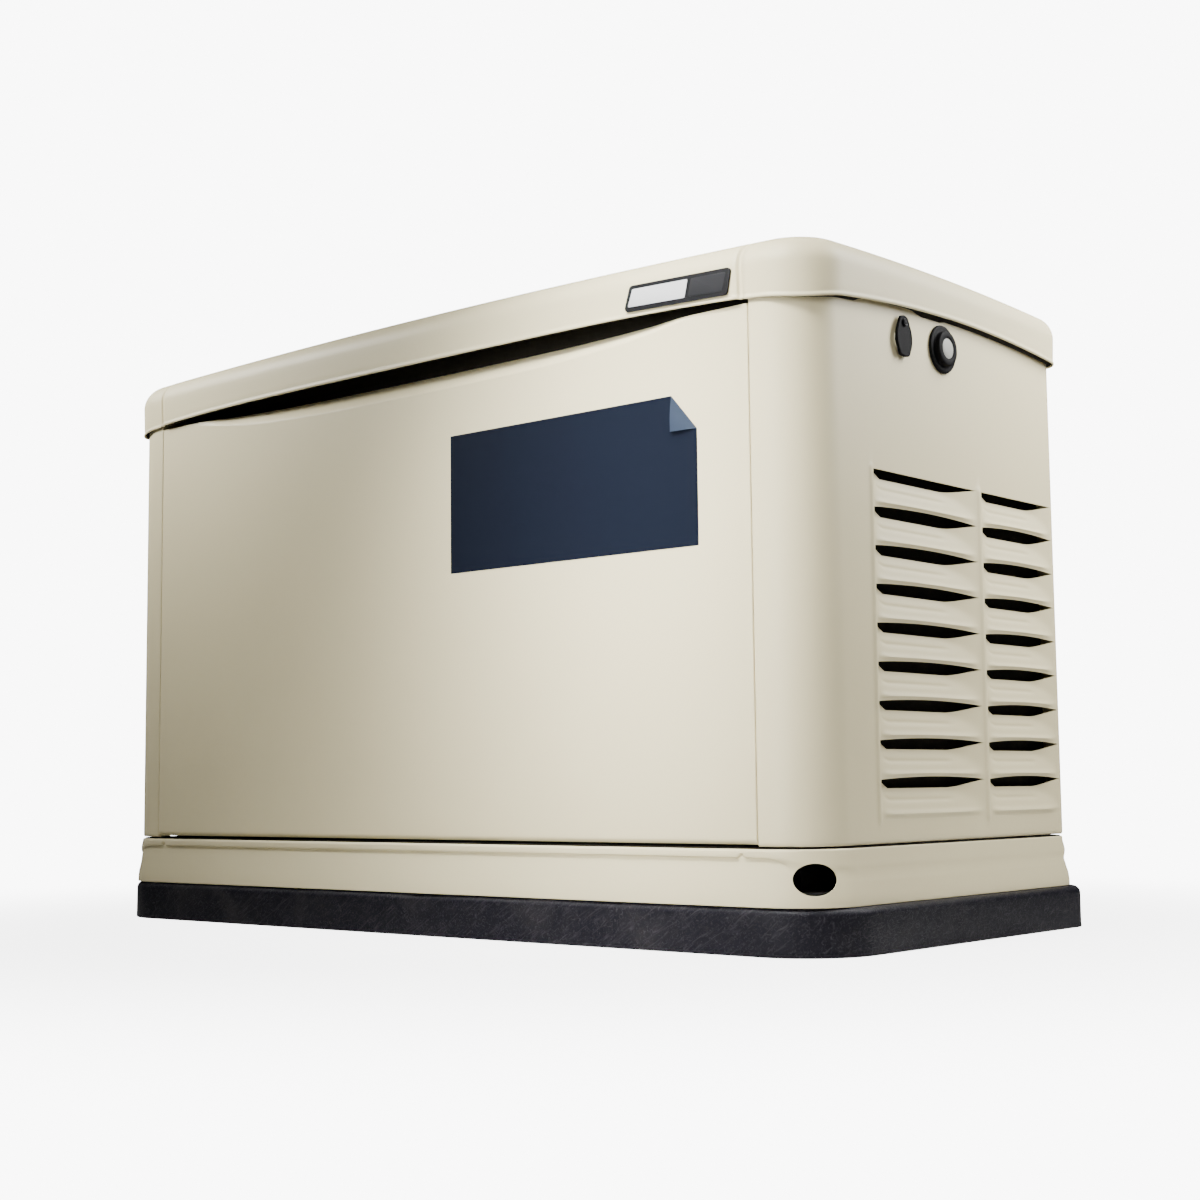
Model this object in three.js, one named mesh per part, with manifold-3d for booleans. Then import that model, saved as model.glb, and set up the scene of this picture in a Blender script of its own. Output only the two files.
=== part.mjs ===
// Air-cooled home standby generator: V-twin engine and alternator in a sheet-metal enclosure
// on a composite pad.
//
// Frame: millimetres, +Z up. The origin is the centre of the pad's underside, on the ground.
// The long side with the lift-off door faces -Y, the louvred alternator end faces +X.

import * as THREE from 'three';
import { mergeVertices } from 'three/addons/utils/BufferGeometryUtils.js';
import Module from 'manifold-3d';

const wasm = await Module();
wasm.setup();

// ---- driving dimensions ---------------------------------------------------------------------

const GAP = 0.3;                 // between faces that touch
const SHEET = 2;                 // enclosure sheet metal

const PAD = {
  halfLength: 609, halfWidth: 286, corner: 86, rearCorner: 32, height: 50, edge: 9,
};

const BASE = {
  halfLength: 600, halfWidth: 284, corner: 74, rearCorner: 44,   // outline at the foot
  top: 110.7, wall: 3, lip: 22,
  holeWidth: 46, holeHeight: 33, holeZ: 79,
};

const BODY = {
  halfLength: 590, front: -276, rear: 265, corner: 60, rearCorner: 12,
  bottom: 111, top: 712, doorHalf: 515,
};

const DOOR = {
  top: 688, crease: 664, scoopDepth: 26, scoopStart: 486, scoopFull: 425,
};

const LID = {
  halfLength: 600, front: -280, rear: 272, corner: 64, rearCorner: 20, proud: 4, crown: 774,
};

const LOUVRE = {
  rows: 9, pitch: 42, lowestTop: 180, height: 34, depth: 7.5, slit: 5, ramp: 50,
  columns: [[-154, 68], [80, 252]],                        // from and to, along Y
};

const HINGE = { axisY: 279.5, axisZ: 690, knuckle: 5, pin: 2.2, width: 70, at: [-380, 380] };

const LOCK = { y: -91, z: 668, radius: 11, plug: 6.5, pivotRise: 19 };
const LENS = { y: -2.5, z: 672, radius: 17, bezel: 28 };

const CRANK_Z = 250;             // height of the crankshaft
const ENGINE = { left: -230, right: -40, halfWidth: 105, bottom: 122, shoulder: 330 };
const CYLINDER = { x: -135, start: 112, end: 235, fin: 128, core: 92, fins: 7, lean: Math.PI / 4 };
const INLET = { x: 60, z: 127, radius: 12, end: 282 };   // the fuel inlet pipe
const SHAFT = 18;
const ALTERNATOR = { left: -39.7, right: 178, outer: 122, inner: 92, rotor: 90 };
const MOUNT_FEET = {
  left_front: [-200, -112], left_rear: [-200, 112],
  right_front: [205, -112], right_rear: [205, 112],
};
const FLOOR = { bottom: 62, top: 65 };
const RAIL = { top: 85, halfWidth: 24, y: 112, from: -250, to: 255 };

const MUFFLER = { x: -455, z: 300, radius: 68, halfLength: 165 };
const SHROUD = { left: -565, right: -345, halfWidth: 215, bottom: 150, top: 470 };

const BATTERY = { x: 440, y: -155, length: 208, width: 173, height: 200 };
const CONTROL = { left: 300, right: 555, front: -245, rear: -110, bottom: 470, top: 640 };
const BREAKER = { left: 330, right: 400, front: -235, rear: -160, bottom: 360 };

// ---- finishes -------------------------------------------------------------------------------

const finish = (color, roughness, metalness = 0) =>
  new THREE.MeshStandardMaterial({ color, roughness, metalness });

const BISQUE = finish(0xd3cdb9, 0.6);
const COMPOSITE = finish(0x2b272d, 0.85);
const ZINC = finish(0x9a9b98, 0.4, 0.9);
const STEEL = finish(0x77797b, 0.35, 1);
const CHROME = finish(0xc9cccf, 0.15, 1);
const BLACK_PLASTIC = finish(0x17181a, 0.5);
const GREY_PLASTIC = finish(0x5a5e63, 0.5);
const CLEAR_PLASTIC = finish(0x9aa0a2, 0.2);
const RUBBER = finish(0x1b1b1c, 0.9);
const CAST_ALUMINIUM = finish(0x9b9d9f, 0.55, 0.8);
const BLACK_PAINT = finish(0x1e1f21, 0.45);
const FILTER_PAPER = finish(0xe4ddc8, 0.9);
const RED_PLASTIC = finish(0xb3261e, 0.45);
const YELLOW_PLASTIC = finish(0xe6ad14, 0.45);
const GREEN_PLASTIC = finish(0x2c7a3f, 0.45);
const BLUE_PLASTIC = finish(0x2a5fa5, 0.45);

// ---- geometry helpers -----------------------------------------------------------------------

const clamp01 = (t) => Math.min(1, Math.max(0, t));
const smooth = (t) => { const c = clamp01(t); return c * c * (3 - 2 * c); };

function solid(geometry) {
  if (!geometry.isBufferGeometry) return geometry;
  const bare = geometry.clone();
  for (const name of Object.keys(bare.attributes)) {
    if (name !== 'position') bare.deleteAttribute(name);
  }
  const merged = mergeVertices(bare, 1e-4);
  return new wasm.Manifold(new wasm.Mesh({
    numProp: 3,
    vertProperties: new Float32Array(merged.attributes.position.array),
    triVerts: new Uint32Array(merged.index.array),
  }));
}

const join = (first, ...others) => others.reduce((sum, g) => sum.add(solid(g)), solid(first));
const cut = (first, ...others) => others.reduce((rest, g) => rest.subtract(solid(g)), solid(first));

function geometryOf(shape) {
  if (shape.isBufferGeometry) return shape;
  const mesh = shape.getMesh();
  const geometry = new THREE.BufferGeometry();
  geometry.setAttribute('position', new THREE.BufferAttribute(mesh.vertProperties, 3));
  geometry.setIndex(new THREE.BufferAttribute(mesh.triVerts, 1));
  geometry.computeVertexNormals();
  return geometry;
}

// A block from its lowest to its highest corner.
function block(x0, x1, y0, y1, z0, z1) {
  const geometry = new THREE.BoxGeometry(x1 - x0, y1 - y0, z1 - z0);
  return geometry.translate((x0 + x1) / 2, (y0 + y1) / 2, (z0 + z1) / 2);
}

// Turns a shape that was built along Z so that it runs along X, keeping it closed and outward.
const alongX = (geometry) => geometry.applyMatrix4(
  new THREE.Matrix4().set(0, 0, 1, 0, 1, 0, 0, 0, 0, 1, 0, 0, 0, 0, 0, 1));
// The same, so that it runs along Y.
const alongY = (geometry) => geometry.applyMatrix4(
  new THREE.Matrix4().set(0, 1, 0, 0, 0, 0, 1, 0, 1, 0, 0, 0, 0, 0, 0, 1));

// A rod between two values on an axis, centred on the other two coordinates.
function rod(radius, from, to, sides = 20) {
  const geometry = new THREE.CylinderGeometry(radius, radius, to - from, sides);
  return geometry.rotateX(Math.PI / 2).translate(0, 0, (from + to) / 2);
}
const rodX = (radius, from, to, y, z, sides) => alongX(rod(radius, from, to, sides)).translate(0, y, z);
const rodY = (radius, from, to, x, z, sides) => alongY(rod(radius, from, to, sides)).translate(x, 0, z);
const rodZ = (radius, from, to, x, y, sides) => rod(radius, from, to, sides).translate(x, y, 0);

// An outline of [u, v] pairs, extruded from one value to another.
function extruded(points, from, to) {
  const shape = new THREE.Shape(points.map(([u, v]) => new THREE.Vector2(u, v)));
  const options = { depth: to - from, bevelEnabled: false };
  return new THREE.ExtrudeGeometry(shape, options).translate(0, 0, from);
}
const extrudedX = (points, from, to) => alongX(extruded(points, from, to));

// A closed profile of [radius, height] pairs, turned about Z.
function turned(profile, sides = 18) {
  const points = [...profile, profile[0]].map(([r, h]) => new THREE.Vector2(r, h));
  return new THREE.LatheGeometry(points, sides).rotateX(Math.PI / 2);
}
const turnedX = (profile, sides) => alongX(turned(profile, sides));

// A round tube or rod along a smooth curve through points.
function along(points, radius, steps, sides = 8) {
  const path = new THREE.CatmullRomCurve3(points.map((p) => new THREE.Vector3(...p)));
  const circle = new THREE.Shape();
  circle.absarc(0, 0, radius, 0, 2 * Math.PI);
  return new THREE.ExtrudeGeometry(circle, { steps, curveSegments: sides / 2, extrudePath: path });
}

// A closed skin over rings of points, each ring with the same number, listed from the bottom up.
function lofted(rings) {
  const count = rings[0].length;
  const positions = rings.flat(2);
  const index = [];
  for (let ring = 0; ring + 1 < rings.length; ring += 1) {
    for (let i = 0; i < count; i += 1) {
      const [a, b] = [ring * count + i, ring * count + ((i + 1) % count)];
      index.push(a, b, b + count, a, b + count, a + count);
    }
  }
  for (const [ring, top] of [[0, false], [rings.length - 1, true]]) {
    const centre = positions.length / 3;
    for (const axis of [0, 1, 2]) {
      positions.push(rings[ring].reduce((sum, p) => sum + p[axis], 0) / count);
    }
    for (let i = 0; i < count; i += 1) {
      const [a, b] = [ring * count + i, ring * count + ((i + 1) % count)];
      index.push(centre, ...(top ? [a, b] : [b, a]));
    }
  }
  const geometry = new THREE.BufferGeometry();
  geometry.setAttribute('position', new THREE.BufferAttribute(new Float32Array(positions), 3));
  geometry.setIndex(index);
  return geometry;
}

// A sheet over a grid of points, with a second skin moved by an offset.
function sheet(rows, offset) {
  const [height, width] = [rows.length, rows[0].length];
  const front = rows.flat();
  const back = front.map((p) => p.map((value, axis) => value + offset[axis]));
  const index = [];
  const quad = (a, b, c, d) => index.push(a, b, c, a, c, d);
  const at = (row, column, skin = 0) => skin * front.length + row * width + column;
  for (let r = 0; r + 1 < height; r += 1) {
    for (let c = 0; c + 1 < width; c += 1) {
      quad(at(r, c), at(r, c + 1), at(r + 1, c + 1), at(r + 1, c));
      quad(at(r, c, 1), at(r + 1, c, 1), at(r + 1, c + 1, 1), at(r, c + 1, 1));
    }
  }
  for (let c = 0; c + 1 < width; c += 1) {
    quad(at(0, c + 1), at(0, c), at(0, c, 1), at(0, c + 1, 1));
    quad(at(height - 1, c), at(height - 1, c + 1), at(height - 1, c + 1, 1), at(height - 1, c, 1));
  }
  for (let r = 0; r + 1 < height; r += 1) {
    quad(at(r, 0), at(r + 1, 0), at(r + 1, 0, 1), at(r, 0, 1));
    quad(at(r + 1, width - 1), at(r, width - 1), at(r, width - 1, 1), at(r + 1, width - 1, 1));
  }
  const geometry = new THREE.BufferGeometry();
  const points = new Float32Array([...front, ...back].flat());
  geometry.setAttribute('position', new THREE.BufferAttribute(points, 3));
  geometry.setIndex(index);
  return geometry;
}

// The mirror image in the plane x = 0.
function mirrored(shape) {
  const geometry = geometryOf(shape).clone().scale(-1, 1, 1);
  const order = geometry.index.array;
  for (let i = 0; i < order.length; i += 3) [order[i], order[i + 1]] = [order[i + 1], order[i]];
  geometry.computeVertexNormals();
  return geometry;
}

// Points of a rounded rectangle, anticlockwise from the end of its front left corner.
function roundedRectangle(halfLength, front, rear, corner, rearCorner = corner, steps = 6, between = []) {
  const points = [];
  const arc = (side, cy, radius, start) => {
    for (let i = 0; i <= steps; i += 1) {
      const angle = start + (i / steps) * Math.PI / 2;
      points.push([side * (halfLength - radius) + radius * Math.cos(angle), cy + radius * Math.sin(angle)]);
    }
  };
  between.forEach((t) => points.push([t * (halfLength - corner), front]));
  arc(1, front + corner, corner, -Math.PI / 2);
  arc(1, rear - rearCorner, rearCorner, 0);
  between.toReversed().forEach((t) => points.push([t * (halfLength - corner), rear]));
  arc(-1, rear - rearCorner, rearCorner, Math.PI / 2);
  arc(-1, front + corner, corner, Math.PI);
  return points;
}

const atHeight = (points, z) => points.map(([x, y]) => [x, y, z]);

// ---- the assembly ---------------------------------------------------------------------------

const generator = new THREE.Group();

function add(name, shape, material, parent = generator) {
  const mesh = new THREE.Mesh(geometryOf(shape), material);
  mesh.name = name;
  parent.add(mesh);
  return mesh;
}

// ---- pad and base ---------------------------------------------------------------------------

function mountingPad() {
  const ring = (inset, z) => atHeight(roundedRectangle(
    PAD.halfLength - inset, inset - PAD.halfWidth, PAD.halfWidth - inset,
    PAD.corner - inset, PAD.rearCorner - inset), z);
  return lofted([
    ring(0, 0),
    ring(0, PAD.height - PAD.edge),
    ring(PAD.edge * 0.3, PAD.height - PAD.edge * 0.3),
    ring(PAD.edge, PAD.height),
  ]);
}

// The skirt's taper: the inset from its foot, with a raised band under the panels.
const SKIRT_PROFILE = [[0, 50.3], [0, 58], [7, 99], [4, 101], [4, 107], [6, 110.7]];

function baseFrame() {
  const ring = (inset, z) => atHeight(roundedRectangle(
    BASE.halfLength - inset, inset - BASE.halfWidth, BASE.halfWidth - inset,
    BASE.corner - inset, BASE.rearCorner - inset), z);
  const outer = lofted(SKIRT_PROFILE.map(([inset, z]) => ring(inset, z)));
  const wall = BASE.wall + 7;
  const inside = lofted([ring(wall, 40), ring(wall, BASE.top - BASE.wall)]);
  const mouth = lofted([ring(wall + BASE.lip, 90), ring(wall + BASE.lip, 120)]);
  const holes = [];
  for (const sx of [-1, 1]) {
    for (const sy of [-1, 1]) {
      const half = (BASE.holeWidth - BASE.holeHeight) / 2;
      const slot = join(
        rod(BASE.holeHeight / 2, -30, 30, 12).translate(half, 0, 0),
        rod(BASE.holeHeight / 2, -30, 30, 12).translate(-half, 0, 0),
        block(-half, half, -BASE.holeHeight / 2, BASE.holeHeight / 2, -30, 30));
      const turn = Math.atan2(sx, -sy);
      const corner = sy < 0 ? BASE.corner : BASE.rearCorner;
      const inset = corner * (1 - Math.SQRT1_2);
      const x = sx * (BASE.halfLength - inset);
      const y = sy * (BASE.halfWidth - inset);
      holes.push(geometryOf(slot).rotateX(Math.PI / 2).rotateZ(turn).translate(x, y, BASE.holeZ));
    }
  }
  return cut(outer, inside, mouth, ...holes);
}

// The floor, with the two channel rails that carry the engine and alternator welded to it.
function floorPan() {
  const outline = roundedRectangle(584, -268, 268, 58);
  const drains = [-330, 330].map((x) => rodZ(20, 50, 80, x, 150, 12));
  const { from, to, y, halfWidth, top } = RAIL;
  const rails = [-y, y].flatMap((middle) => [
    block(from, to, middle - halfWidth, middle + halfWidth, top - SHEET, top),
    block(from, to, middle - halfWidth, middle - halfWidth + SHEET, FLOOR.top - 1, top),
    block(from, to, middle + halfWidth - SHEET, middle + halfWidth, FLOOR.top - 1, top)]);
  return cut(join(extruded(outline, FLOOR.bottom, FLOOR.top), ...rails), ...drains);
}

const vibrationMount = (x, y) => turned([[0, RAIL.top + GAP], [20, RAIL.top + GAP], [20, 90], [15, 95],
  [15, 101], [20, 106], [20, 110], [0, 110]], 12).translate(x, y, 0);

// ---- enclosure ------------------------------------------------------------------------------

// A louvre's pressed hollow: deepest along its top edge, running out along its foot and ends.
function louvreHollow(from, to, top, depth, height, ramp) {
  const face = BODY.halfLength;
  const corners = [
    [face + 1, from, top], [face + 1, to, top],
    [face + 1, to, top - height], [face + 1, from, top - height],
    [face - depth, from + ramp, top], [face - depth, to - ramp, top],
  ];
  const triangles = [
    [0, 3, 2], [0, 2, 1], [0, 1, 5], [0, 5, 4],
    [3, 4, 5], [3, 5, 2], [0, 4, 3], [1, 2, 5],
  ];
  const geometry = new THREE.BufferGeometry();
  geometry.setAttribute('position', new THREE.BufferAttribute(new Float32Array(corners.flat()), 3));
  geometry.setIndex(triangles.flat());
  return geometry;
}

function louvred(panel) {
  const hollows = [];
  const skins = [];
  const slits = [];
  for (let row = 0; row < LOUVRE.rows; row += 1) {
    const top = LOUVRE.lowestTop + row * LOUVRE.pitch;
    for (const [from, to] of LOUVRE.columns) {
      hollows.push(louvreHollow(from, to, top, LOUVRE.depth, LOUVRE.height, LOUVRE.ramp));
      skins.push(louvreHollow(
        from - SHEET, to + SHEET, top + SHEET, LOUVRE.depth + SHEET, LOUVRE.height + SHEET, LOUVRE.ramp));
      const [near, far] = [BODY.halfLength - LOUVRE.depth - 2 * SHEET, BODY.halfLength - SHEET - GAP];
      slits.push(block(near, far, from + LOUVRE.ramp, to - LOUVRE.ramp, top - LOUVRE.slit, top));
    }
  }
  const beyond = block(BODY.halfLength, BODY.halfLength + 5, -300, 300, 0, 800);
  return cut(join(panel, ...skins), ...hollows, ...slits, beyond);
}

// The end panel wraps the front corner, from the door's edge to a flange behind the rear corner.
function endPanel() {
  const [edge, side] = [BODY.doorHalf + GAP, BODY.halfLength];
  const arc = (cy, bend, radius, start, steps) => Array.from({ length: steps + 1 }, (_, i) => {
    const angle = start + (i / steps) * Math.PI / 2;
    return [side - bend + radius * Math.cos(angle), cy + radius * Math.sin(angle)];
  });
  const wrap = (inset) => [
    [edge + inset, BODY.front + 20], [edge + inset, BODY.front + inset],
    ...arc(BODY.front + BODY.corner, BODY.corner, BODY.corner - inset, -Math.PI / 2, 6),
    ...arc(BODY.rear - BODY.rearCorner, BODY.rearCorner, BODY.rearCorner - inset, 0, 3),
    [side - 30, BODY.rear - inset]];
  const outside = wrap(0);
  const inside = wrap(SHEET);
  return extruded([...outside, ...inside.toReversed()], BODY.bottom, BODY.top);
}

const lockHole = () => rodX(LOCK.radius + GAP, 560, 620, LOCK.y, LOCK.z, 16);
const rightEndPanel = () => cut(louvred(endPanel()), lockHole(),
  rodX(LENS.radius + 3 + GAP, 560, 620, LENS.y, LENS.z));
const leftEndPanel = () => mirrored(cut(louvred(endPanel()), lockHole()));

// The rear panel fits between the end panels' flanges, and has two banks of pressed louvres.
function rearPanel() {
  const [half, face] = [BODY.halfLength - 30 - GAP, BODY.rear];
  const skin = block(-half, half, face - SHEET, face, BODY.bottom, BODY.top);
  const flange = block(-half, half, face - 26, face - SHEET, BODY.top - SHEET, BODY.top);
  const slots = [];
  for (const x of [-410, 90]) {
    for (let row = 0; row < 6; row += 1) {
      slots.push(block(x, x + 320, face - 5, face + 5, 240 + row * 45, 254 + row * 45));
    }
  }
  return cut(join(skin, flange), ...slots, rodY(INLET.radius + 1, 240, 290, INLET.x, INLET.z, 16));
}

// How far the door's face stands back from its front plane: the hand scoop along its top, and
// the rolled foot.
function doorSetback(x, z) {
  const inScoop = smooth((DOOR.scoopStart - Math.abs(x)) / (DOOR.scoopStart - DOOR.scoopFull));
  const up = clamp01((z - DOOR.crease) / (DOOR.top - DOOR.crease));
  const foot = clamp01((BODY.bottom + 6 - z) / 6);
  return inScoop * DOOR.scoopDepth * up ** 1.5 + 4 * foot ** 2;
}

function frontDoor() {
  const half = BODY.doorHalf - GAP;
  const heights = [111.5, 113.5, 117, 300, 480, DOOR.crease, 670, 676, 682, DOOR.top];
  const columns = [-half, -486, -470, -455, -440, -425, -200, 0, 200, 425, 440, 455, 470, 486, half];
  const rows = heights.map((z) => columns.map((x) => [x, BODY.front + doorSetback(x, z), z]));
  const returns = [-1, 1].map((side) => block(
    side > 0 ? half - SHEET : -half, side > 0 ? half : SHEET - half,
    BODY.front + 1, BODY.front + 16, 118, DOOR.crease));
  return join(sheet(rows, [0, SHEET, 0]), ...returns);
}

// The height of the lid's lower edge: arched along the front, and more along the ends.
function lidEdge(x, y) {
  const atFront = 700.3 - 8 * (x / 505) ** 4;
  const atRear = 700 - 4 * (x / 560) ** 2;
  const atEnd = 708 - 21 * ((y - 40) / 300) ** 2;
  const round = clamp01((Math.abs(x) - LID.halfLength + LID.corner) / LID.corner);
  return (1 - round) * (y < 0 ? atFront : atRear) + round * atEnd;
}

// The lid's top, crowned both ways.
const lidTop = (x, y) => LID.crown - 9 * (x / 570) ** 2 - 7 * ((y - 40) / 286) ** 2;

// Rings over the lid: how far in from the outline, how far below the crown, how proud the middle.
const LID_RINGS = [[0, null, 1], [0, 30, 1], [3, 16, 1], [10, 7, 0.7], [30, 0, 0], [90, 0, 0], [170, 0, 0]];
const LID_STATIONS = [-0.957, -0.945, -0.6, -0.3, 0, 0.3, 0.6, 0.945, 0.957];

function lidRings(inward, lowest) {
  return LID_RINGS.map(([inset, below, proud]) => {
    const d = inset + inward;
    const points = roundedRectangle(LID.halfLength - d, LID.front + d, LID.rear - d,
      Math.max(LID.corner - d, 20), Math.max(LID.rearCorner - d, 8), 6, LID_STATIONS);
    return points.map(([x, y]) => {
      const middle = y < LID.front + d + 1 && Math.abs(x) < 0.95 * (LID.halfLength - LID.corner);
      const z = below === null ? lowest ?? lidEdge(x, y) : lidTop(x, y) - below - inward;
      return [x, y - (middle ? LID.proud * proud : 0), z];
    });
  });
}

const lid = () => cut(lofted(lidRings(0)), lofted(lidRings(SHEET, 600)));

// The badge plate stands on the lid's proud front, near its right end.
function lidBadge() {
  const face = LID.front - LID.proud;
  const outline = [
    [347, 711], [350, 708], [486, 704], [490, 707],
    [494, 727], [491, 730.5], [359, 735], [355, 732],
  ];
  return alongX(extruded(outline, 0, 1.5)).rotateZ(-Math.PI / 2).translate(0, face - GAP, 0);
}

// ---- lid hinges, each of two leaves and a pin ------------------------------------------------

function lidHinge(side, x) {
  const { axisY, axisZ, knuckle, pin, width } = HINGE;
  const group = new THREE.Group();
  group.position.set(x, 0, 0);
  generator.add(group);
  const bore = rodX(pin + GAP, -width, width, axisY, axisZ, 12);
  const [middle, outer] = [width / 4, width / 2];
  const face = BODY.rear + GAP;
  add(`hinge_fixed_leaf_${side}`, cut(join(
    block(-outer, outer, face, face + 2.5, axisZ - 48, axisZ - 12),
    block(-middle, middle, face, face + 2.5, axisZ - 12, axisZ - 2),
    block(-middle, middle, face, axisY, axisZ - 4.8, axisZ - 2),
    rodX(knuckle, -middle, middle, axisY, axisZ, 12)), bore), ZINC, group);
  const leafFace = LID.rear + GAP;
  const arms = [[-outer, -middle - GAP], [middle + GAP, outer]];
  add(`hinge_moving_leaf_${side}`, cut(join(
    block(-outer, outer, leafFace, leafFace + 2, axisZ + 12, axisZ + 42),
    ...arms.map(([from, to]) => block(from, to, leafFace, leafFace + 3, axisZ, axisZ + 12)),
    ...arms.map(([from, to]) => rodX(knuckle, from, to, axisY, axisZ, 12))), bore), ZINC, group);
  add(`hinge_pin_${side}`, join(
    rodX(pin, -outer - 1, outer + 1, axisY, axisZ, 12),
    rodX(knuckle - 1, outer + GAP, outer + 2, axisY, axisZ, 12),
    rodX(knuckle - 1, -outer - 2, -outer - GAP, axisY, axisZ, 12)), STEEL, group);
}

// ---- enclosure locks, one in each end panel -------------------------------------------------

// Built about the lock's own axis: X is outward from the panel's face.
function lock(side, x, turn) {
  const group = new THREE.Group();
  group.position.set(x, LOCK.y, LOCK.z);
  group.rotation.z = turn;
  generator.add(group);
  add(`lock_barrel_${side}`, join(
    turnedX([[LOCK.plug + GAP, -18], [LOCK.radius, -18], [LOCK.radius, GAP], [LOCK.radius + 3, GAP],
      [LOCK.radius + 3, 2.5], [LOCK.plug + GAP, 2.5]]),
    rodX(3, GAP, 4.5, 0, LOCK.pivotRise, 12),
    block(GAP, 2.5, -3, 3, 10, LOCK.pivotRise)), CHROME, group);
  add(`lock_plug_${side}`, cut(join(
    rodX(LOCK.plug, -22, 2, 0, 0, 16),
    block(-22, -19, -6, 34, -6, 6)),
  block(1, 3, -0.8, 0.8, -4, 4)), CHROME, group);
  const outline = [[-9, 2], [-6, 6], [6, 6], [9, 2], [13, -12], [14, -22], [11, -32], [5, -37], [-5, -37],
    [-11, -32], [-14, -22], [-13, -12]];
  add(`lock_cover_${side}`, cut(
    alongX(extruded(outline, 3, 6)).translate(0, 0, LOCK.pivotRise),
    rodX(3 + GAP, 0, 10, 0, LOCK.pivotRise, 12)), BLACK_PLASTIC, group);
}

// ---- status lamp ----------------------------------------------------------------------------

function statusLamp() {
  const group = new THREE.Group();
  group.position.set(BODY.halfLength, LENS.y, LENS.z);
  generator.add(group);
  const { radius, bezel } = LENS;
  add('status_lamp_bezel', turnedX([[radius + GAP, -8], [radius + 3, -8], [radius + 3, GAP], [bezel, GAP],
    [bezel, 3], [bezel - 4, 6], [radius + 3, 7], [radius + GAP, 7]]), RUBBER, group);
  add('status_lamp_lens', turnedX([[0, -6], [radius, -6], [radius, 7], [radius * 0.8, 9.5],
    [radius * 0.4, 11], [0, 11.5]], 20), CLEAR_PLASTIC, group);
}

// ---- engine ---------------------------------------------------------------------------------

function crankcase() {
  const { halfWidth: w, bottom, shoulder } = ENGINE;
  const outline = [[-w + 15, bottom], [w - 15, bottom], [w, bottom + 20], [w, 285], [58, shoulder],
    [20, shoulder + 8], [-20, shoulder + 8], [-58, shoulder], [-w, 285], [-w, bottom + 20]];
  const [x, y] = MOUNT_FEET.left_rear;
  const feet = [
    block(x - 25, x + 25, 60, y + 22, 110.3, bottom + 4),
    block(x - 25, x + 25, -y - 22, -60, 110.3, bottom + 4),
  ];
  return cut(join(
    extrudedX(outline, ENGINE.left, ENGINE.right),
    rodX(70, ENGINE.right - 5, ENGINE.right, 0, CRANK_Z),
    rodZ(9, 240, 300, -52, -w - 7, 12),
    block(-61, -43, -w - 7, -w + 2, 240, 296),
    ...feet),
  rodX(SHAFT + GAP, -400, 400, 0, CRANK_Z),
  rodZ(3.5, 245, 310, -52, -w - 7, 12));
}

// A cylinder with its cooling fins and head, along Z from the crankshaft.
function finnedCylinder() {
  const { start, end, fin, core, fins } = CYLINDER;
  const pieces = [block(-core / 2, core / 2, -core / 2, core / 2, start, end - 30)];
  for (let i = 0; i < fins; i += 1) {
    const z = start + 12 + i * 12;
    pieces.push(block(-fin / 2, fin / 2, -fin / 2, fin / 2, z, z + 4));
  }
  pieces.push(block(-fin / 2, fin / 2, -fin / 2 + 6, fin / 2 - 6, end - 30, end));
  return join(...pieces);
}

function valveCover() {
  const ring = (inset, z) => atHeight(roundedRectangle(56 - inset, inset - 46, 46 - inset, 18, 18, 4), z);
  const base = CYLINDER.end + GAP;
  return lofted([ring(0, base), ring(0, base + 18), ring(5, base + 26), ring(14, base + 28)]);
}

function cylinderBank(side, lean) {
  const group = new THREE.Group();
  group.position.set(CYLINDER.x, 0, CRANK_Z);
  group.rotation.x = lean;
  generator.add(group);
  add(`cylinder_${side}`, finnedCylinder(), CAST_ALUMINIUM, group);
  add(`valve_cover_${side}`, valveCover(), BLACK_PAINT, group);
}

const blowerHousing = () => turnedX([[72, -312], [136, -312], [142, -304], [142, ENGINE.left - GAP],
  [139, ENGINE.left - GAP], [139, -303], [135, -309], [72, -309]]).translate(0, 0, CRANK_Z);

function flywheelFan() {
  const disc = turnedX([[SHAFT + GAP, -262], [112, -262], [112, -250], [40, -244], [SHAFT + GAP, -244]]);
  const blades = Array.from({ length: 12 }, (_, i) =>
    block(-296, -261, -2, 2, 62, 110).rotateX((i / 12) * 2 * Math.PI));
  return geometryOf(join(disc, ...blades)).translate(0, 0, CRANK_Z);
}

const crankshaft = () => turnedX([
  [0, -290], [12, -290], [12, -270], [SHAFT, -270],
  [SHAFT, ALTERNATOR.right - 12], [14, ALTERNATOR.right - 12], [14, 214], [0, 214],
]).translate(0, 0, CRANK_Z);

const starterMotor = () => join(
  rodX(34, -228, -128, -146, 190), rodX(24, -128, -116, -146, 190), rodX(15, -220, -140, -146, 234, 12),
  block(-214, -146, -150, -142, 200, 232));

const oilFilter = () => alongY(turned([[0, -82], [34, -82], [38, -76], [38, -4], [30, 0], [0, 0]], 16))
  .translate(-76, -ENGINE.halfWidth - GAP, 172);

function oilDipstick() {
  const [x, y] = [-52, -ENGINE.halfWidth - 7];
  const ring = new THREE.TorusGeometry(10, 2.4, 6, 14).rotateY(Math.PI / 2).translate(x, y, 322);
  return join(rodZ(2.6, 247, 301, x, y, 10), rodZ(8, 300 + GAP, 312, x, y, 12), ring);
}

const fuelMixer = () => cut(join(
  block(-165, -105, -26, 26, 392, 452), rodZ(24, 452, 474.7, -135, 0, 16),
  rodX(16, -105, -92, 0, 425, 16)), rodZ(16, 400, 480, -135, 0, 12));

const airbox = () => cut(join(
  block(-225, -45, -125, 125, 475, 560), block(-150, -120, -145, -124, 500, 540)),
block(-222, -48, -122, 122, 478, 561), rodZ(18, 470, 480, -135, 0, 12));

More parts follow.
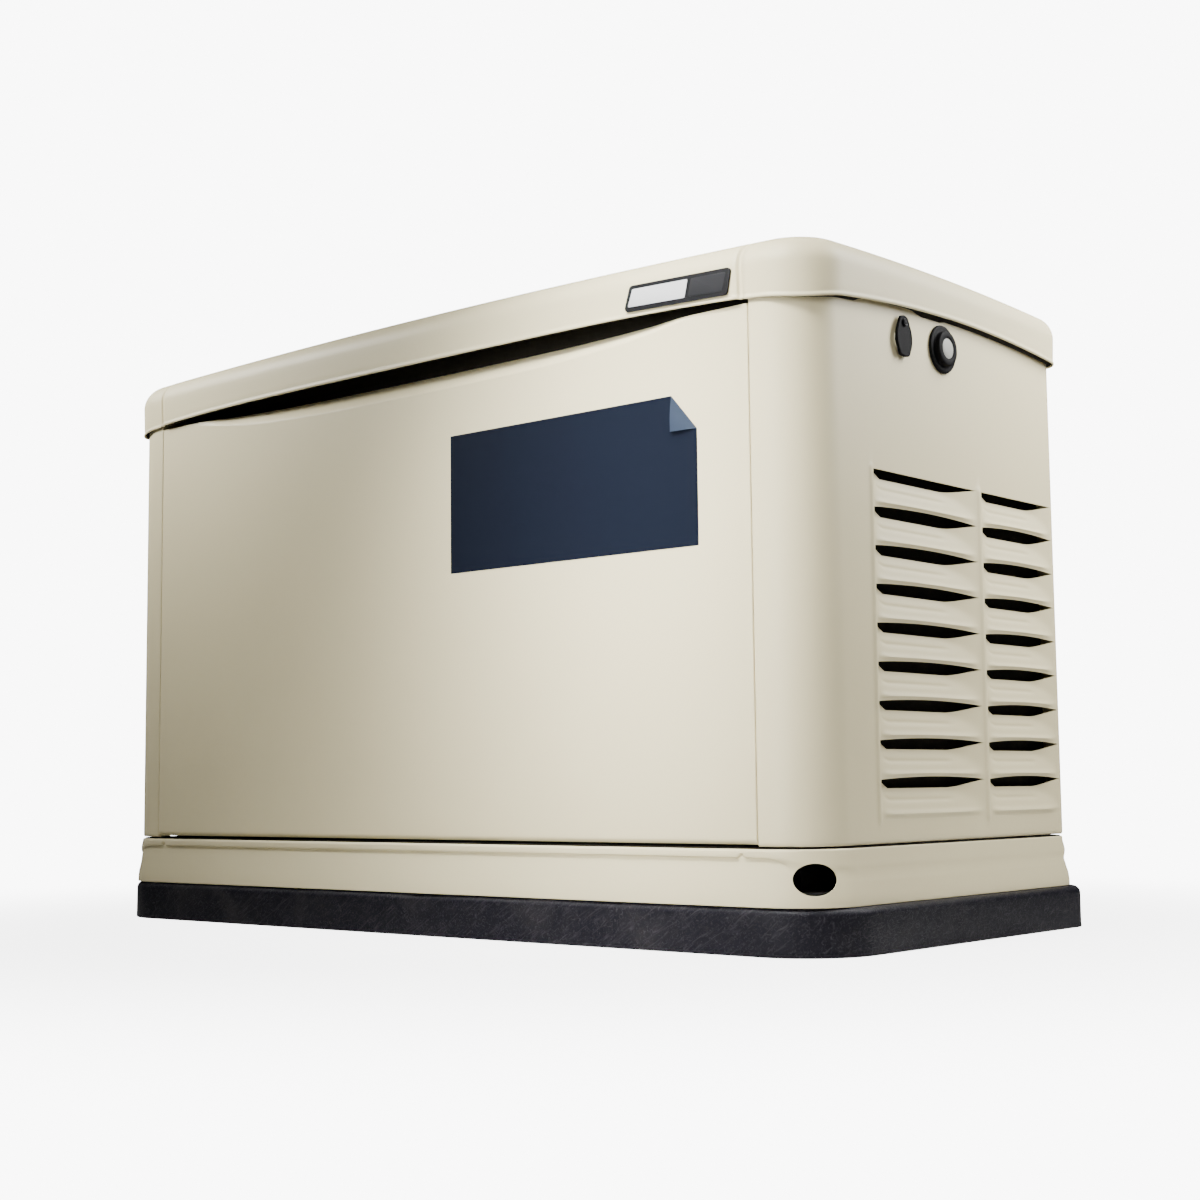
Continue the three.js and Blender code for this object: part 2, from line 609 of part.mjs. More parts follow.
function airboxCover() {
  const ring = (inset, z) => atHeight(roundedRectangle(
    92 - inset, inset - 128, 128 - inset, 24 - inset, 24 - inset, 3), z).map(([x, y, h]) => [x - 135, y, h]);
  return lofted([ring(0, 560 + GAP), ring(0, 578), ring(8, 590), ring(20, 592)]);
}

// A pleated panel filter.
function airFilter() {
  const folds = 24;
  const edge = Array.from({ length: folds + 1 }, (_, i) => [-110 + i * (220 / folds), i % 2 ? 512 : 522]);
  const top = edge.map(([y, z]) => [y, z + 33]).toReversed();
  return extrudedX([...edge, ...top], -210, -60);
}

// The regulator stands on its pedestal; its inlet pipe passes through the rear panel.
const regulator = () => cut(join(
  turned([[0, 150], [48, 150], [52, 156], [52, 172], [48, 178], [0, 178]], 20).translate(INLET.x, 195, 0),
  rodZ(15, 178, 200, INLET.x, 195, 16),
  block(INLET.x - 20, INLET.x + 20, 175, 215, FLOOR.top + GAP, 151),
  rodY(INLET.radius, 200, INLET.end, INLET.x, INLET.z, 16)),
rodY(INLET.radius - 4, INLET.end - 30, INLET.end + 1, INLET.x, INLET.z, 12));

const fuelHose = () => along(
  [[60, 195, 200.6], [60, 195, 230], [50, 180, 290], [20, 120, 370], [-20, 30, 422], [-60, 0, 425],
    [-91.4, 0, 425]], 9, 14);

// ---- alternator -----------------------------------------------------------------------------

function stator() {
  const { left, right, outer, inner } = ALTERNATOR;
  const can = turnedX([[inner, left], [outer, left], [outer, right], [inner, right]], 28);
  const bars = [45, 135, 225, 315].map((degrees) =>
    block(left, right, -6, 6, outer - 4, outer + 6).rotateX(degrees * Math.PI / 180));
  return geometryOf(join(can, ...bars)).translate(0, 0, CRANK_Z);
}

const rotor = () => turnedX([[SHAFT + GAP, -20], [60, -20], [60, -8], [ALTERNATOR.rotor, -8],
  [ALTERNATOR.rotor, 148], [60, 148], [60, 160], [SHAFT + GAP, 160]]).translate(0, 0, CRANK_Z);

function endBracket() {
  const left = ALTERNATOR.right + GAP;
  const vents = Array.from({ length: 6 }, (_, i) =>
    rodX(18, left - 1, left + 40, 0, 66, 10).rotateX((i / 6) * 2 * Math.PI + 0.5).translate(0, 0, CRANK_Z));
  return cut(join(
    rodX(ALTERNATOR.outer, left, left + 14, 0, CRANK_Z),
    rodX(34, left, left + 30, 0, CRANK_Z),
    block(left, 228, -130, 130, 110.3, 124),
    block(left, left + 14, -90, 90, 120, 200)),
  rodX(14 + GAP, left - 1, left + 50, 0, CRANK_Z), ...vents);
}

// ---- exhaust --------------------------------------------------------------------------------

function muffler() {
  const { x, z, radius, halfLength: half } = MUFFLER;
  const can = alongY(turned([[0, -half], [radius - 10, -half], [radius, 8 - half], [radius, half - 8],
    [radius - 10, half], [0, half]])).translate(x, 0, z);
  const tail = rodX(20, -575, x - 40, 60, z, 12);
  const chamber = alongY(turned([[0, 12 - half], [radius - SHEET, 12 - half], [radius - SHEET, half - 12],
    [0, half - 12]])).translate(x, 0, z);
  const straps = [-90, 90].map((y) => block(x - 12, x + 12, y - 15, y + 15, FLOOR.top + GAP, z - 60));
  return cut(join(can, tail, ...straps), chamber, rodX(17, -600, x, 60, z, 12));
}

// Both down pipes run outside the blower and meet in a cross tube beside the muffler.
const exhaustPipes = () => join(
  ...[-1, 1].map((side) => along([
    [CYLINDER.x, side * 184, 320], [CYLINDER.x - 8, side * 202, 302], [CYLINDER.x - 45, side * 208, 298],
    [-250, side * 196, 300], [-320, side * 160, 300], [-372, side * 140, 300]], 14, 14)),
  rodY(14, -140, 140, -371, 300, 10),
  rodX(14, MUFFLER.x + MUFFLER.radius + GAP, -371, 0, 300, 10));

// The heat shroud round the muffler is open towards the end louvres and below.
function exhaustShroud() {
  const { left, right, halfWidth, bottom, top } = SHROUD;
  const box = block(left, right, -halfWidth, halfWidth, bottom, top);
  const hollow = block(
    left - 5, right - SHEET, SHEET - halfWidth, halfWidth - SHEET, bottom - 5, top - SHEET);
  const holes = [-1, 1].map((side) => rodX(32, right - 10, right + 10, side * 152, 300, 16));
  const legs = [-1, 1].map((side) => block(right - SHEET, right, side * 190 - 20, side * 190 + 20,
    FLOOR.top + GAP, bottom + 1));
  return join(cut(box, hollow, ...holes), ...legs);
}

// ---- battery --------------------------------------------------------------------------------

const batteryBottom = FLOOR.top + GAP + 3;

function battery() {
  const { x, y, length, width, height } = BATTERY;
  const [hx, hy, top] = [length / 2, width / 2, batteryBottom + GAP + height];
  return join(
    block(x - hx, x + hx, y - hy, y + hy, batteryBottom + GAP, top - 22),
    block(x - hx - 2, x + hx + 2, y - hy - 2, y + hy + 2, top - 22, top),
    rodZ(9, top, top + 16, x - 80, y - 60, 12), rodZ(8.5, top, top + 16, x + 80, y - 60, 12));
}

// The tray's walls hold the hold-down strap, which passes over the battery.
function batteryTray() {
  const { x, y, length, width, height } = BATTERY;
  const [hx, hy] = [length / 2 + 6, width / 2 + 6];
  const [reach, top] = [width / 2 + 2 + GAP, batteryBottom + 2 * GAP + height];
  const tray = cut(
    block(x - hx, x + hx, y - hy, y + hy, FLOOR.top + GAP, 90),
    block(x - hx + 4, x + hx - 4, y - hy + 4, y + hy - 4, batteryBottom, 91));
  return join(tray,
    block(x - 14, x + 14, y - reach - 2, y + reach + 2, top, top + 2),
    block(x - 14, x + 14, y - reach - 2, y - reach, 85, top + 2),
    block(x - 14, x + 14, y + reach, y + reach + 2, 85, top + 2));
}

// ---- controls -------------------------------------------------------------------------------

const FACE = { low: [CONTROL.front, 560], high: [-165, CONTROL.top] };
const faceSlope = Math.atan2(FACE.high[1] - FACE.low[1], FACE.high[0] - FACE.low[0]);

// Where a point on the sloping control face is: along X, and up the slope from its foot.
function onFace(x, up) {
  const group = new THREE.Group();
  group.position.set(x, FACE.low[0] + up * Math.cos(faceSlope), FACE.low[1] + up * Math.sin(faceSlope));
  group.rotation.x = faceSlope;
  generator.add(group);
  return group;
}

// What stands in the sloping face, each with its place on it and its own local shape.
const BUTTON = { width: 26, height: 18, proud: 5, travel: 2, depth: 8 };
const BUTTONS = [
  ['auto_button', 445, 40, GREEN_PLASTIC], ['off_button', 482, 40, RED_PLASTIC],
  ['manual_button', 519, 40, BLUE_PLASTIC], ['menu_key', 482, 76, GREY_PLASTIC]];
const DISPLAY = { x: 370, up: 62, width: 96, height: 54, depth: 3 };

function controlBox() {
  const { left, right, front, rear, bottom, top } = CONTROL;
  const outline = [[front, bottom], [rear, bottom], [rear, top], FACE.high, FACE.low];
  const pockets = [...BUTTONS.map(([, x, up]) => [x, up, BUTTON.width, BUTTON.height, BUTTON.depth]),
    [DISPLAY.x, DISPLAY.up, DISPLAY.width, DISPLAY.height, DISPLAY.depth]];
  const cavities = pockets.map(([x, up, width, height, depth]) => {
    const pocket = block(-width / 2 - GAP, width / 2 + GAP, -height / 2 - GAP, height / 2 + GAP, -depth, 5);
    const y = FACE.low[0] + up * Math.cos(faceSlope);
    const z = FACE.low[1] + up * Math.sin(faceSlope);
    return pocket.rotateX(faceSlope).translate(x, y, z);
  });
  return cut(join(
    extrudedX(outline, left, right),
    block(right, BODY.halfLength - SHEET - GAP, -200, -140, 525, 600)), ...cavities);
}

function controls() {
  for (const [name, x, up, material] of BUTTONS) {
    const { width, height, proud, travel, depth } = BUTTON;
    add(name, block(-width / 2, width / 2, -height / 2, height / 2, travel + GAP - depth + 2, proud),
      material, onFace(x, up));
  }
  const { x, up, width, height, depth } = DISPLAY;
  add('display_window', block(-width / 2, width / 2, -height / 2, height / 2, GAP - depth, 0.5),
    CLEAR_PLASTIC, onFace(x, up));
}

const togglePivot = [BREAKER.front + 14, 415];
const TOGGLE_TILT = 0.3;         // at rest the toggle points up, to its closed side

function breakerBody() {
  const { left, right, front, rear, bottom } = BREAKER;
  const middle = (left + right) / 2;
  return cut(join(
    block(left, right, front, rear, bottom, CONTROL.bottom - GAP),
    block(left + 6, right - 6, front - 8, front, 385, 445)),
  block(middle - 9, middle + 9, front - 9, front + 24, 393, 437));
}

function breakerToggle() {
  const middle = (BREAKER.left + BREAKER.right) / 2;
  const [y, z] = togglePivot;
  const lever = join(block(-6, 6, -30, 0, -5, 5), rodX(8, -7, 7, 0, 0, 16));
  return geometryOf(lever).rotateX(-TOGGLE_TILT).translate(middle, y, z);
}

// ---- assembly -------------------------------------------------------------------------------

add('mounting_pad', mountingPad(), COMPOSITE);
add('base_frame', baseFrame(), BISQUE);
add('base_floor_pan', floorPan(), BISQUE);
for (const [place, [x, y]] of Object.entries(MOUNT_FEET)) {
  add(`vibration_mount_${place}`, vibrationMount(x, y), RUBBER);
}
add('right_end_panel', rightEndPanel(), BISQUE);
add('left_end_panel', leftEndPanel(), BISQUE);
add('rear_panel', rearPanel(), BISQUE);
add('front_door', frontDoor(), BISQUE);
add('lid', lid(), BISQUE);
add('lid_badge', lidBadge(), ZINC);
HINGE.at.forEach((x, i) => lidHinge(['left', 'right'][i], x));
lock('right', BODY.halfLength, 0);
lock('left', -BODY.halfLength, Math.PI);
statusLamp();

add('engine_crankcase', crankcase(), CAST_ALUMINIUM);
cylinderBank('front', CYLINDER.lean);
cylinderBank('rear', -CYLINDER.lean);
add('blower_housing', blowerHousing(), BLACK_PAINT);
add('flywheel_fan', flywheelFan(), CAST_ALUMINIUM);
add('crankshaft', crankshaft(), STEEL);
add('starter_motor', starterMotor(), BLACK_PAINT);
add('oil_filter', oilFilter(), BLACK_PAINT);
add('oil_dipstick', oilDipstick(), YELLOW_PLASTIC);
add('fuel_mixer', fuelMixer(), CAST_ALUMINIUM);
add('airbox', airbox(), BLACK_PLASTIC);
add('airbox_cover', airboxCover(), BLACK_PLASTIC);
add('air_filter', airFilter(), FILTER_PAPER);
add('fuel_regulator', regulator(), CAST_ALUMINIUM);
add('fuel_hose', fuelHose(), RUBBER);
add('alternator_stator', stator(), BLACK_PAINT);
add('alternator_rotor', rotor(), STEEL);
add('alternator_end_bracket', endBracket(), CAST_ALUMINIUM);
add('muffler', muffler(), STEEL);
add('exhaust_pipes', exhaustPipes(), STEEL);
add('exhaust_shroud', exhaustShroud(), ZINC);
add('battery', battery(), BLACK_PLASTIC);
add('battery_tray', batteryTray(), BLACK_PLASTIC);
add('control_box', controlBox(), GREY_PLASTIC);
controls();
add('main_breaker', breakerBody(), BLACK_PLASTIC);
add('breaker_toggle', breakerToggle(), BLACK_PLASTIC);

export default generator;
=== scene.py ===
"""Finished looks of an air-cooled home standby generator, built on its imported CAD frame."""

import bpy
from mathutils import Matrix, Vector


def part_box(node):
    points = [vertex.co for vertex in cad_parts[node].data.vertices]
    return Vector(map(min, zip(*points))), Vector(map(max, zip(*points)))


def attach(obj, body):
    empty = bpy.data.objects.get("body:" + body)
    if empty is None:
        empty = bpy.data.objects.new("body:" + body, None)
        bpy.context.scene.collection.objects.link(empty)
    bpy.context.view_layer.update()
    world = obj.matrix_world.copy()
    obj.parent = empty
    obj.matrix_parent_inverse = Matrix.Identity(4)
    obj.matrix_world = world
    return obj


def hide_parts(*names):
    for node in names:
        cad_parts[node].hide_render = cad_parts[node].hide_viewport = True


bl_info = {
    "name": "Home Standby Generator",
    "version": (1, 0, 0),
    "blender": (4, 5, 0),
    "location": "3D View > Sidebar > Generator",
    "description": "Builds the enclosure, base, pad and engine bay of a home standby generator",
    "category": "Object",
}

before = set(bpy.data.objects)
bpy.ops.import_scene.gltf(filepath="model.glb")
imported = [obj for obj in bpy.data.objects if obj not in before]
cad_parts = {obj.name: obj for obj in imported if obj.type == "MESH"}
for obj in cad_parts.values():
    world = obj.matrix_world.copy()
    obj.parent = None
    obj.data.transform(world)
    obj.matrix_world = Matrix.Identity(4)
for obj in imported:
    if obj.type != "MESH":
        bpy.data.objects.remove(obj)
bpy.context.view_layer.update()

import math

import bmesh
import bpy
from bpy.props import FloatProperty, FloatVectorProperty, IntProperty, PointerProperty
from mathutils import Matrix, Vector

MM = 0.001


# ---- settings -------------------------------------------------------------------------------


class GeneratorCaseSettings(bpy.types.PropertyGroup):
    """Sizes and colours of the sheet-metal enclosure."""

    paint: FloatVectorProperty(
        name="Paint", description="Powder coat colour of the enclosure",
        subtype="COLOR", size=3, min=0, max=1, default=(0.64, 0.568, 0.35))
    sheet: FloatProperty(
        name="Sheet", description="Thickness of the enclosure's sheet metal",
        unit="LENGTH", default=0.002, min=0.001, max=0.004)
    scoop_depth: FloatProperty(
        name="Scoop depth", description="How far the door's hand scoop stands back",
        unit="LENGTH", default=0.026, min=0, max=0.03)
    lid_step: FloatProperty(
        name="Lid step", description="How proud the middle of the lid's front stands",
        unit="LENGTH", default=0.004, min=0, max=0.006)


class GeneratorLouvreSettings(bpy.types.PropertyGroup):
    """Sizes of the pressed louvres in the end panels."""

    rows: IntProperty(
        name="Rows", description="Louvres in each column", default=9, min=2, max=9)
    pitch: FloatProperty(
        name="Pitch", description="Height from one louvre to the next",
        unit="LENGTH", default=0.042, min=0.03, max=0.06)
    depth: FloatProperty(
        name="Depth", description="How far a louvre's upper edge is pressed in",
        unit="LENGTH", default=0.0075, min=0.002, max=0.012)
    slit: FloatProperty(
        name="Slit", description="Height of the open slit over each louvre",
        unit="LENGTH", default=0.009, min=0.002, max=0.012)


class GeneratorPadSettings(bpy.types.PropertyGroup):
    """Size and colours of the composite mounting pad."""

    edge: FloatProperty(
        name="Edge radius", description="Radius of the pad's upper edge",
        unit="LENGTH", default=0.009, min=0.002, max=0.015)
    colour: FloatVectorProperty(
        name="Colour", description="Dark ground of the marbled composite",
        subtype="COLOR", size=3, min=0, max=1, default=(0.0048, 0.0044, 0.0078))
    wisps: FloatVectorProperty(
        name="Wisps", description="Paler fibres in the composite",
        subtype="COLOR", size=3, min=0, max=1, default=(0.05, 0.046, 0.052))


class GeneratorStageSettings(bpy.types.PropertyGroup):
    """Floor, light and camera."""

    floor: FloatVectorProperty(
        name="Floor", description="Colour of the floor",
        subtype="COLOR", size=3, min=0, max=1, default=(0.62, 0.62, 0.62))
    top_power: FloatProperty(
        name="Top light", description="Power of the overhead softbox, in watts",
        unit="POWER", default=12, min=0, max=2000)
    key_power: FloatProperty(
        name="Key light", description="Power of the softbox on the door, in watts",
        unit="POWER", default=5.2, min=0, max=2000)
    fill_power: FloatProperty(
        name="Fill light", description="Power of the softbox on the louvred end, in watts",
        unit="POWER", default=6.5, min=0, max=2000)
    air: FloatProperty(
        name="Air light", description="Strength of the even light from all round",
        default=0.1, min=0, max=5)
    backdrop: FloatProperty(
        name="Backdrop", description="Brightness of the backdrop behind the generator",
        default=9.0, min=0, max=20)
    lens: FloatProperty(
        name="Lens", description="Focal length of the camera, in millimetres",
        default=55.757, min=20, max=200)


# ---- small helpers --------------------------------------------------------------------------


def clamp01(t):
    """t held between 0 and 1."""
    return min(1.0, max(0.0, t))


def smooth(t):
    """A soft step from 0 to 1 as t goes from 0 to 1."""
    t = clamp01(t)
    return t * t * (3 - 2 * t)


def spaced(start, end, count):
    """count numbers from start to end, both included."""
    return [start + (end - start) * i / (count - 1) for i in range(count)]


def circle_angles(steps):
    """Angles evenly round a circle, from 0."""
    return [math.tau * i / steps for i in range(steps)]


def build_mesh(name, points, faces):
    """A linked mesh object of points in millimetres."""
    data = bpy.data.meshes.new(name)
    data.from_pydata([(x * MM, y * MM, z * MM) for x, y, z in points], [], faces)
    data.update()
    piece = bpy.data.objects.new(name, data)
    bpy.context.scene.collection.objects.link(piece)
    return piece


def strip_faces(rows, columns, wrap=False, keep=None):
    """Quads between rows of points that run left to right, the next row above."""
    faces = []
    for r in range(rows - 1):
        for c in range(columns if wrap else columns - 1):
            if keep is None or keep(r, c):
                near, far = r * columns + c, r * columns + (c + 1) % columns
                faces.append((near, far, far + columns, near + columns))
    return faces


def lofted(name, rings, foot=True, head=True):
    """A skin over rings of the same number of points, with flat caps if they are asked for."""
    count = len(rings[0])
    faces = strip_faces(len(rings), count, wrap=True)
    points = [p for ring in rings for p in ring]
    if foot:
        faces.append(tuple(reversed(range(count))))
    if head:
        faces.append(tuple(range(len(points) - count, len(points))))
    return build_mesh(name, points, faces)


def turned(name, profile, centre, steps=72, sign=1):
    """A closed lathe shape about the X axis: profile pairs are radius and height outward."""
    cx, cy, cz = centre
    return lofted(name, [
        [(cx + sign * out, cy + radius * math.cos(a), cz + sign * radius * math.sin(a))
         for a in circle_angles(steps)]
        for radius, out in profile])


def keep_result(piece):
    """Makes what the piece's modifiers show its plain mesh, and removes them."""
    graph = bpy.context.evaluated_depsgraph_get()
    done = bpy.data.meshes.new_from_object(piece.evaluated_get(graph), depsgraph=graph)
    piece.modifiers.clear()
    old, piece.data = piece.data, done
    done.name = piece.name
    bpy.data.meshes.remove(old)
    return piece


def settle(piece, modifier_kind, **values):
    """Adds a modifier and keeps its result as the piece's plain mesh."""
    modifier = piece.modifiers.new(modifier_kind.title(), modifier_kind)
    for key, value in values.items():
        setattr(modifier, key, value)
    return keep_result(piece)


def cut_out(piece, cutter):
    """Takes the cutter's shape out of the piece."""
    settle(piece, "BOOLEAN", operation="DIFFERENCE", solver="EXACT", object=cutter,
           use_hole_tolerant=True)
    bpy.data.objects.remove(cutter)
    return piece


def shade(piece, angle=32):
    """Smooth shading with sharp edges past an angle in degrees."""
    piece.data.shade_smooth()
    piece.data.set_sharp_from_angle(angle=math.radians(angle))
    return piece


def place(piece, body, material, replaced=(), angle=32):
    """Finishes a piece: shading, material, body, slot and the CAD nodes it stands for."""
    shade(piece, angle)
    if material is not None:
        piece.data.materials.clear()
        piece.data.materials.append(bpy.data.materials[f"{material}_finish"])
    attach(piece, body)
    if replaced:
        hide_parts(*replaced)
    return piece


def turn_out(piece):
    """Merges doubled points and turns every face of a closed piece outwards."""
    work = bmesh.new()
    work.from_mesh(piece.data)
    bmesh.ops.remove_doubles(work, verts=work.verts, dist=1e-7)
    bmesh.ops.recalc_face_normals(work, faces=work.faces)
    work.to_mesh(piece.data)
    work.free()
    return piece


def mirrored(piece, name):
    """A copy of the piece across the plane x = 0, its faces turned out again."""
    data = piece.data.copy()
    data.transform(Matrix.Scale(-1, 4, (1, 0, 0)))
    data.flip_normals()
    copy = bpy.data.objects.new(name, data)
    bpy.context.scene.collection.objects.link(copy)
    return copy


def cad_copy(node, name, width, angle=30):
    """A merged copy of a CAD node with its sharp edges rounded by width, in millimetres."""
    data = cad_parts[node].data.copy()
    work = bmesh.new()
    work.from_mesh(data)
    bmesh.ops.remove_doubles(work, verts=work.verts, dist=1e-5)
    bmesh.ops.dissolve_limit(
        work, angle_limit=math.radians(2), verts=work.verts, edges=work.edges)
    if width:
        sharp = [e for e in work.edges
                 if e.is_manifold and e.calc_face_angle(0) > math.radians(angle)]
        bmesh.ops.bevel(
            work, geom=sharp, offset=width * MM, segments=2, profile=0.6,
            affect="EDGES", clamp_overlap=True)
    work.to_mesh(data)
    work.free()
    piece = bpy.data.objects.new(name, data)
    bpy.context.scene.collection.objects.link(piece)
    return piece


# ---- outlines -------------------------------------------------------------------------------


def outline(half, front, rear, corner, rear_corner, arc=20, along=(), across=6):
    """A rounded rectangle, anticlockwise from the middle of its left side.
    along gives the stations of the long sides as shares of the straight length."""
    long_stations = along or spaced(-1, 1, 41)[1:-1]

    def bend(cx, cy, radius, start):
        angles = [math.radians(start) + math.pi / 2 * i / arc for i in range(arc + 1)]
        return [(cx + radius * math.cos(a), cy + radius * math.sin(a)) for a in angles]

    middle = (front + rear) / 2
    front_y, rear_y = front + corner, rear - rear_corner
    points = [(-half, y) for y in spaced(middle, front_y, across)[:-1]]
    points += bend(corner - half, front_y, corner, 180)
    points += [(t * (half - corner), front) for t in long_stations]
    points += bend(half - corner, front_y, corner, 270)
    points += [(half, y) for y in spaced(front_y, middle, across)[1:]]
    points += [(half, y) for y in spaced(middle, rear_y, across)[1:-1]]
    points += bend(half - rear_corner, rear_y, rear_corner, 0)
    points += [(t * (half - rear_corner), rear) for t in reversed(long_stations)]
    points += bend(rear_corner - half, rear_y, rear_corner, 90)
    points += [(-half, y) for y in spaced(rear_y, middle, across)[1:-1]]
    return points


def corner_share(x, y, half, front, rear, corner):
    """0 along the long sides, 1 along the ends, and the turn between them in a corner."""
    into = abs(x) - (half - corner)
    if into <= 0:
        return 0.0
    across = min(y - front, rear - y)
    if across >= corner:
        return 1.0
    return clamp01(math.atan2(into, corner - across) / (math.pi / 2))


# ---- nodes ----------------------------------------------------------------------------------


def new_group(name, kind="ShaderNodeTree"):
    """An empty node group with its input and output nodes."""
    tree = bpy.data.node_groups.new(name, kind)
    start, end = tree.nodes.new("NodeGroupInput"), tree.nodes.new("NodeGroupOutput")
    return tree, start, end


def socket(tree, name, way, kind="NodeSocketFloat", default=None):
    """Gives a node group a named input or output."""
    made = tree.interface.new_socket(name=name, in_out=way, socket_type=kind)
    if default is not None:
        made.default_value = default


def add_node(tree, kind, inputs=(), **settings):
    """A node with its settings made and its sockets set or linked."""
    node = tree.nodes.new(kind)
    for key, value in settings.items():
        setattr(node, key, value)
    for key, value in dict(inputs).items():
        if isinstance(value, bpy.types.NodeSocket):
            tree.links.new(value, node.inputs[key])
        else:
            node.inputs[key].default_value = value
    return node


def maths(tree, operation, *values):
    """The result of one sum on numbers or sockets."""
    return add_node(
        tree, "ShaderNodeMath", enumerate(values), operation=operation).outputs[0]


def remap(tree, value, low, high, to_low=0.0, to_high=1.0):
    """The value spread from low..high to another range."""
    return add_node(tree, "ShaderNodeMapRange", {
        "Value": value, "From Min": low, "From Max": high, "To Min": to_low,
        "To Max": to_high}).outputs[0]


def object_place(tree):
    """The place in the object's own space."""
    return add_node(tree, "ShaderNodeTexCoord").outputs["Object"]


def noise(tree, where, scale, detail, roughness=0.5, distortion=0.0):
    """Cloudy noise from 0 to 1."""
    return add_node(tree, "ShaderNodeTexNoise", {
        "Vector": where, "Scale": scale, "Detail": detail, "Roughness": roughness,
        "Distortion": distortion}).outputs["Fac"]


def stretched(tree, where, scale, turn=(0, 0, 0)):
    """The place turned and stretched, for a pattern with a grain."""
    return add_node(tree, "ShaderNodeMapping", {
        "Vector": where, "Rotation": turn, "Scale": scale}).outputs[0]


def group_node(tree, name, inputs):
    """A use of one of the shared groups."""
    return add_node(
        tree, "ShaderNodeGroup", inputs, node_tree=bpy.data.node_groups[name]).outputs[0]


def blend_colours(tree, factor, first, second):
    """first where the factor is 0, second where it is 1."""
    return add_node(
        tree, "ShaderNodeMix", {0: factor, 6: first, 7: second}, data_type="RGBA").outputs[2]


def set_bump(tree, height, strength, distance):
    """Raises the material's surface by a height mask, distance in millimetres."""
    bump = add_node(tree, "ShaderNodeBump", {
        "Height": height, "Strength": strength, "Distance": distance * MM})
    tree.links.new(bump.outputs["Normal"], tree.nodes["Principled BSDF"].inputs["Normal"])


# ---- materials ------------------------------------------------------------------------------


def grain_group():
    """Fine orange-peel texture of powder coat and moulded plastic."""
    tree, start, end = new_group("fine_grain")
    socket(tree, "Scale", "INPUT", default=700)
    socket(tree, "Height", "OUTPUT")
    where, scale = object_place(tree), start.outputs["Scale"]
    pebbles = noise(tree, where, scale, 2.0, 0.55)
    waves = noise(tree, where, maths(tree, "MULTIPLY", scale, 0.4), 1.0)
    tree.links.new(maths(tree, "ADD", pebbles, waves), end.inputs["Height"])


def drift_group():
    """Slow drift of tone over a surface, as paint batches, handling and weather leave it."""
    tree, start, end = new_group("tone_drift")
    socket(tree, "Color", "INPUT", "NodeSocketColor", (0.5, 0.5, 0.5, 1))
    socket(tree, "Scale", "INPUT", default=4)
    socket(tree, "Amount", "INPUT", default=0.08)
    socket(tree, "Color", "OUTPUT", "NodeSocketColor")
    cloud = noise(tree, object_place(tree), start.outputs["Scale"], 4.0, 0.6)
    centred = maths(tree, "SUBTRACT", cloud, 0.5)
    swing = maths(tree, "MULTIPLY_ADD", centred, start.outputs["Amount"], 1.0)
    tinted = add_node(tree, "ShaderNodeHueSaturation", {
        "Color": start.outputs["Color"], "Value": swing})
    tree.links.new(tinted.outputs["Color"], end.inputs["Color"])


def wear_group():
    """Mask of rubbed edges, broken up by noise."""
    tree, start, end = new_group("edge_wear")
    socket(tree, "Amount", "INPUT", default=0.5)
    socket(tree, "Scale", "INPUT", default=60)
    socket(tree, "Mask", "OUTPUT")
    sharpness = add_node(tree, "ShaderNodeNewGeometry").outputs["Pointiness"]
    edge = remap(tree, sharpness, 0.52, 0.62)
    chips = noise(tree, object_place(tree), start.outputs["Scale"], 5.0)
    mask = maths(tree, "MULTIPLY", edge, remap(tree, chips, 0.42, 0.62))
    scaled = maths(tree, "MULTIPLY", mask, start.outputs["Amount"])
    tree.links.new(scaled, end.inputs["Mask"])


def dust_group():
    """Mask of dust that settles on faces that look up."""
    tree, start, end = new_group("settled_dust")
    socket(tree, "Amount", "INPUT", default=0.2)
    socket(tree, "Mask", "OUTPUT")
    facing = add_node(tree, "ShaderNodeSeparateXYZ", {
        0: add_node(tree, "ShaderNodeNewGeometry").outputs["Normal"]})
    up = remap(tree, facing.outputs["Z"], 0.45, 1.0)
    patchy = noise(tree, object_place(tree), 18.0, 6.0, 0.65)
    mask = maths(tree, "MULTIPLY", up, patchy)
    scaled = maths(tree, "MULTIPLY", mask, start.outputs["Amount"])
    tree.links.new(scaled, end.inputs["Mask"])


def new_material(name):
    """An empty finish, its node tree and its shader."""
    material = bpy.data.materials.new(f"{name}_finish")
    material.use_nodes = True
    tree = material.node_tree
    return material, tree, tree.nodes["Principled BSDF"]


def finish_material(
        name, colour, roughness, metallic=0.0, grain=700, grain_depth=0.1, drift=0.08,
        drift_scale=4, wear=0.0, wear_colour=(0.6, 0.6, 0.6), dust=0.1, rough_swing=0.12,
        coat=0.0, specular=0.5):
    """A painted, plated or moulded finish out of the shared groups."""
    material, tree, shader = new_material(name)
    base = group_node(tree, "tone_drift", {
        "Color": (*colour, 1), "Scale": drift_scale, "Amount": drift})
    if wear:
        rubbed = group_node(tree, "edge_wear", {"Amount": wear, "Scale": 90.0})
        base = blend_colours(tree, rubbed, base, (*wear_colour, 1))
    if dust:
        settled = group_node(tree, "settled_dust", {"Amount": dust})
        base = blend_colours(tree, settled, base, (0.46, 0.43, 0.37, 1))
    tree.links.new(base, shader.inputs["Base Color"])
    smears = noise(tree, object_place(tree), 22.0, 5.0, 0.6)
    rough = remap(tree, smears, 0, 1, roughness - rough_swing / 2, roughness + rough_swing / 2)
    tree.links.new(rough, shader.inputs["Roughness"])
    set_bump(tree, group_node(tree, "fine_grain", {"Scale": float(grain)}), 0.6, grain_depth)
    shader.inputs["Metallic"].default_value = metallic
    shader.inputs["Coat Weight"].default_value = coat
    shader.inputs["Specular IOR Level"].default_value = specular
    return material


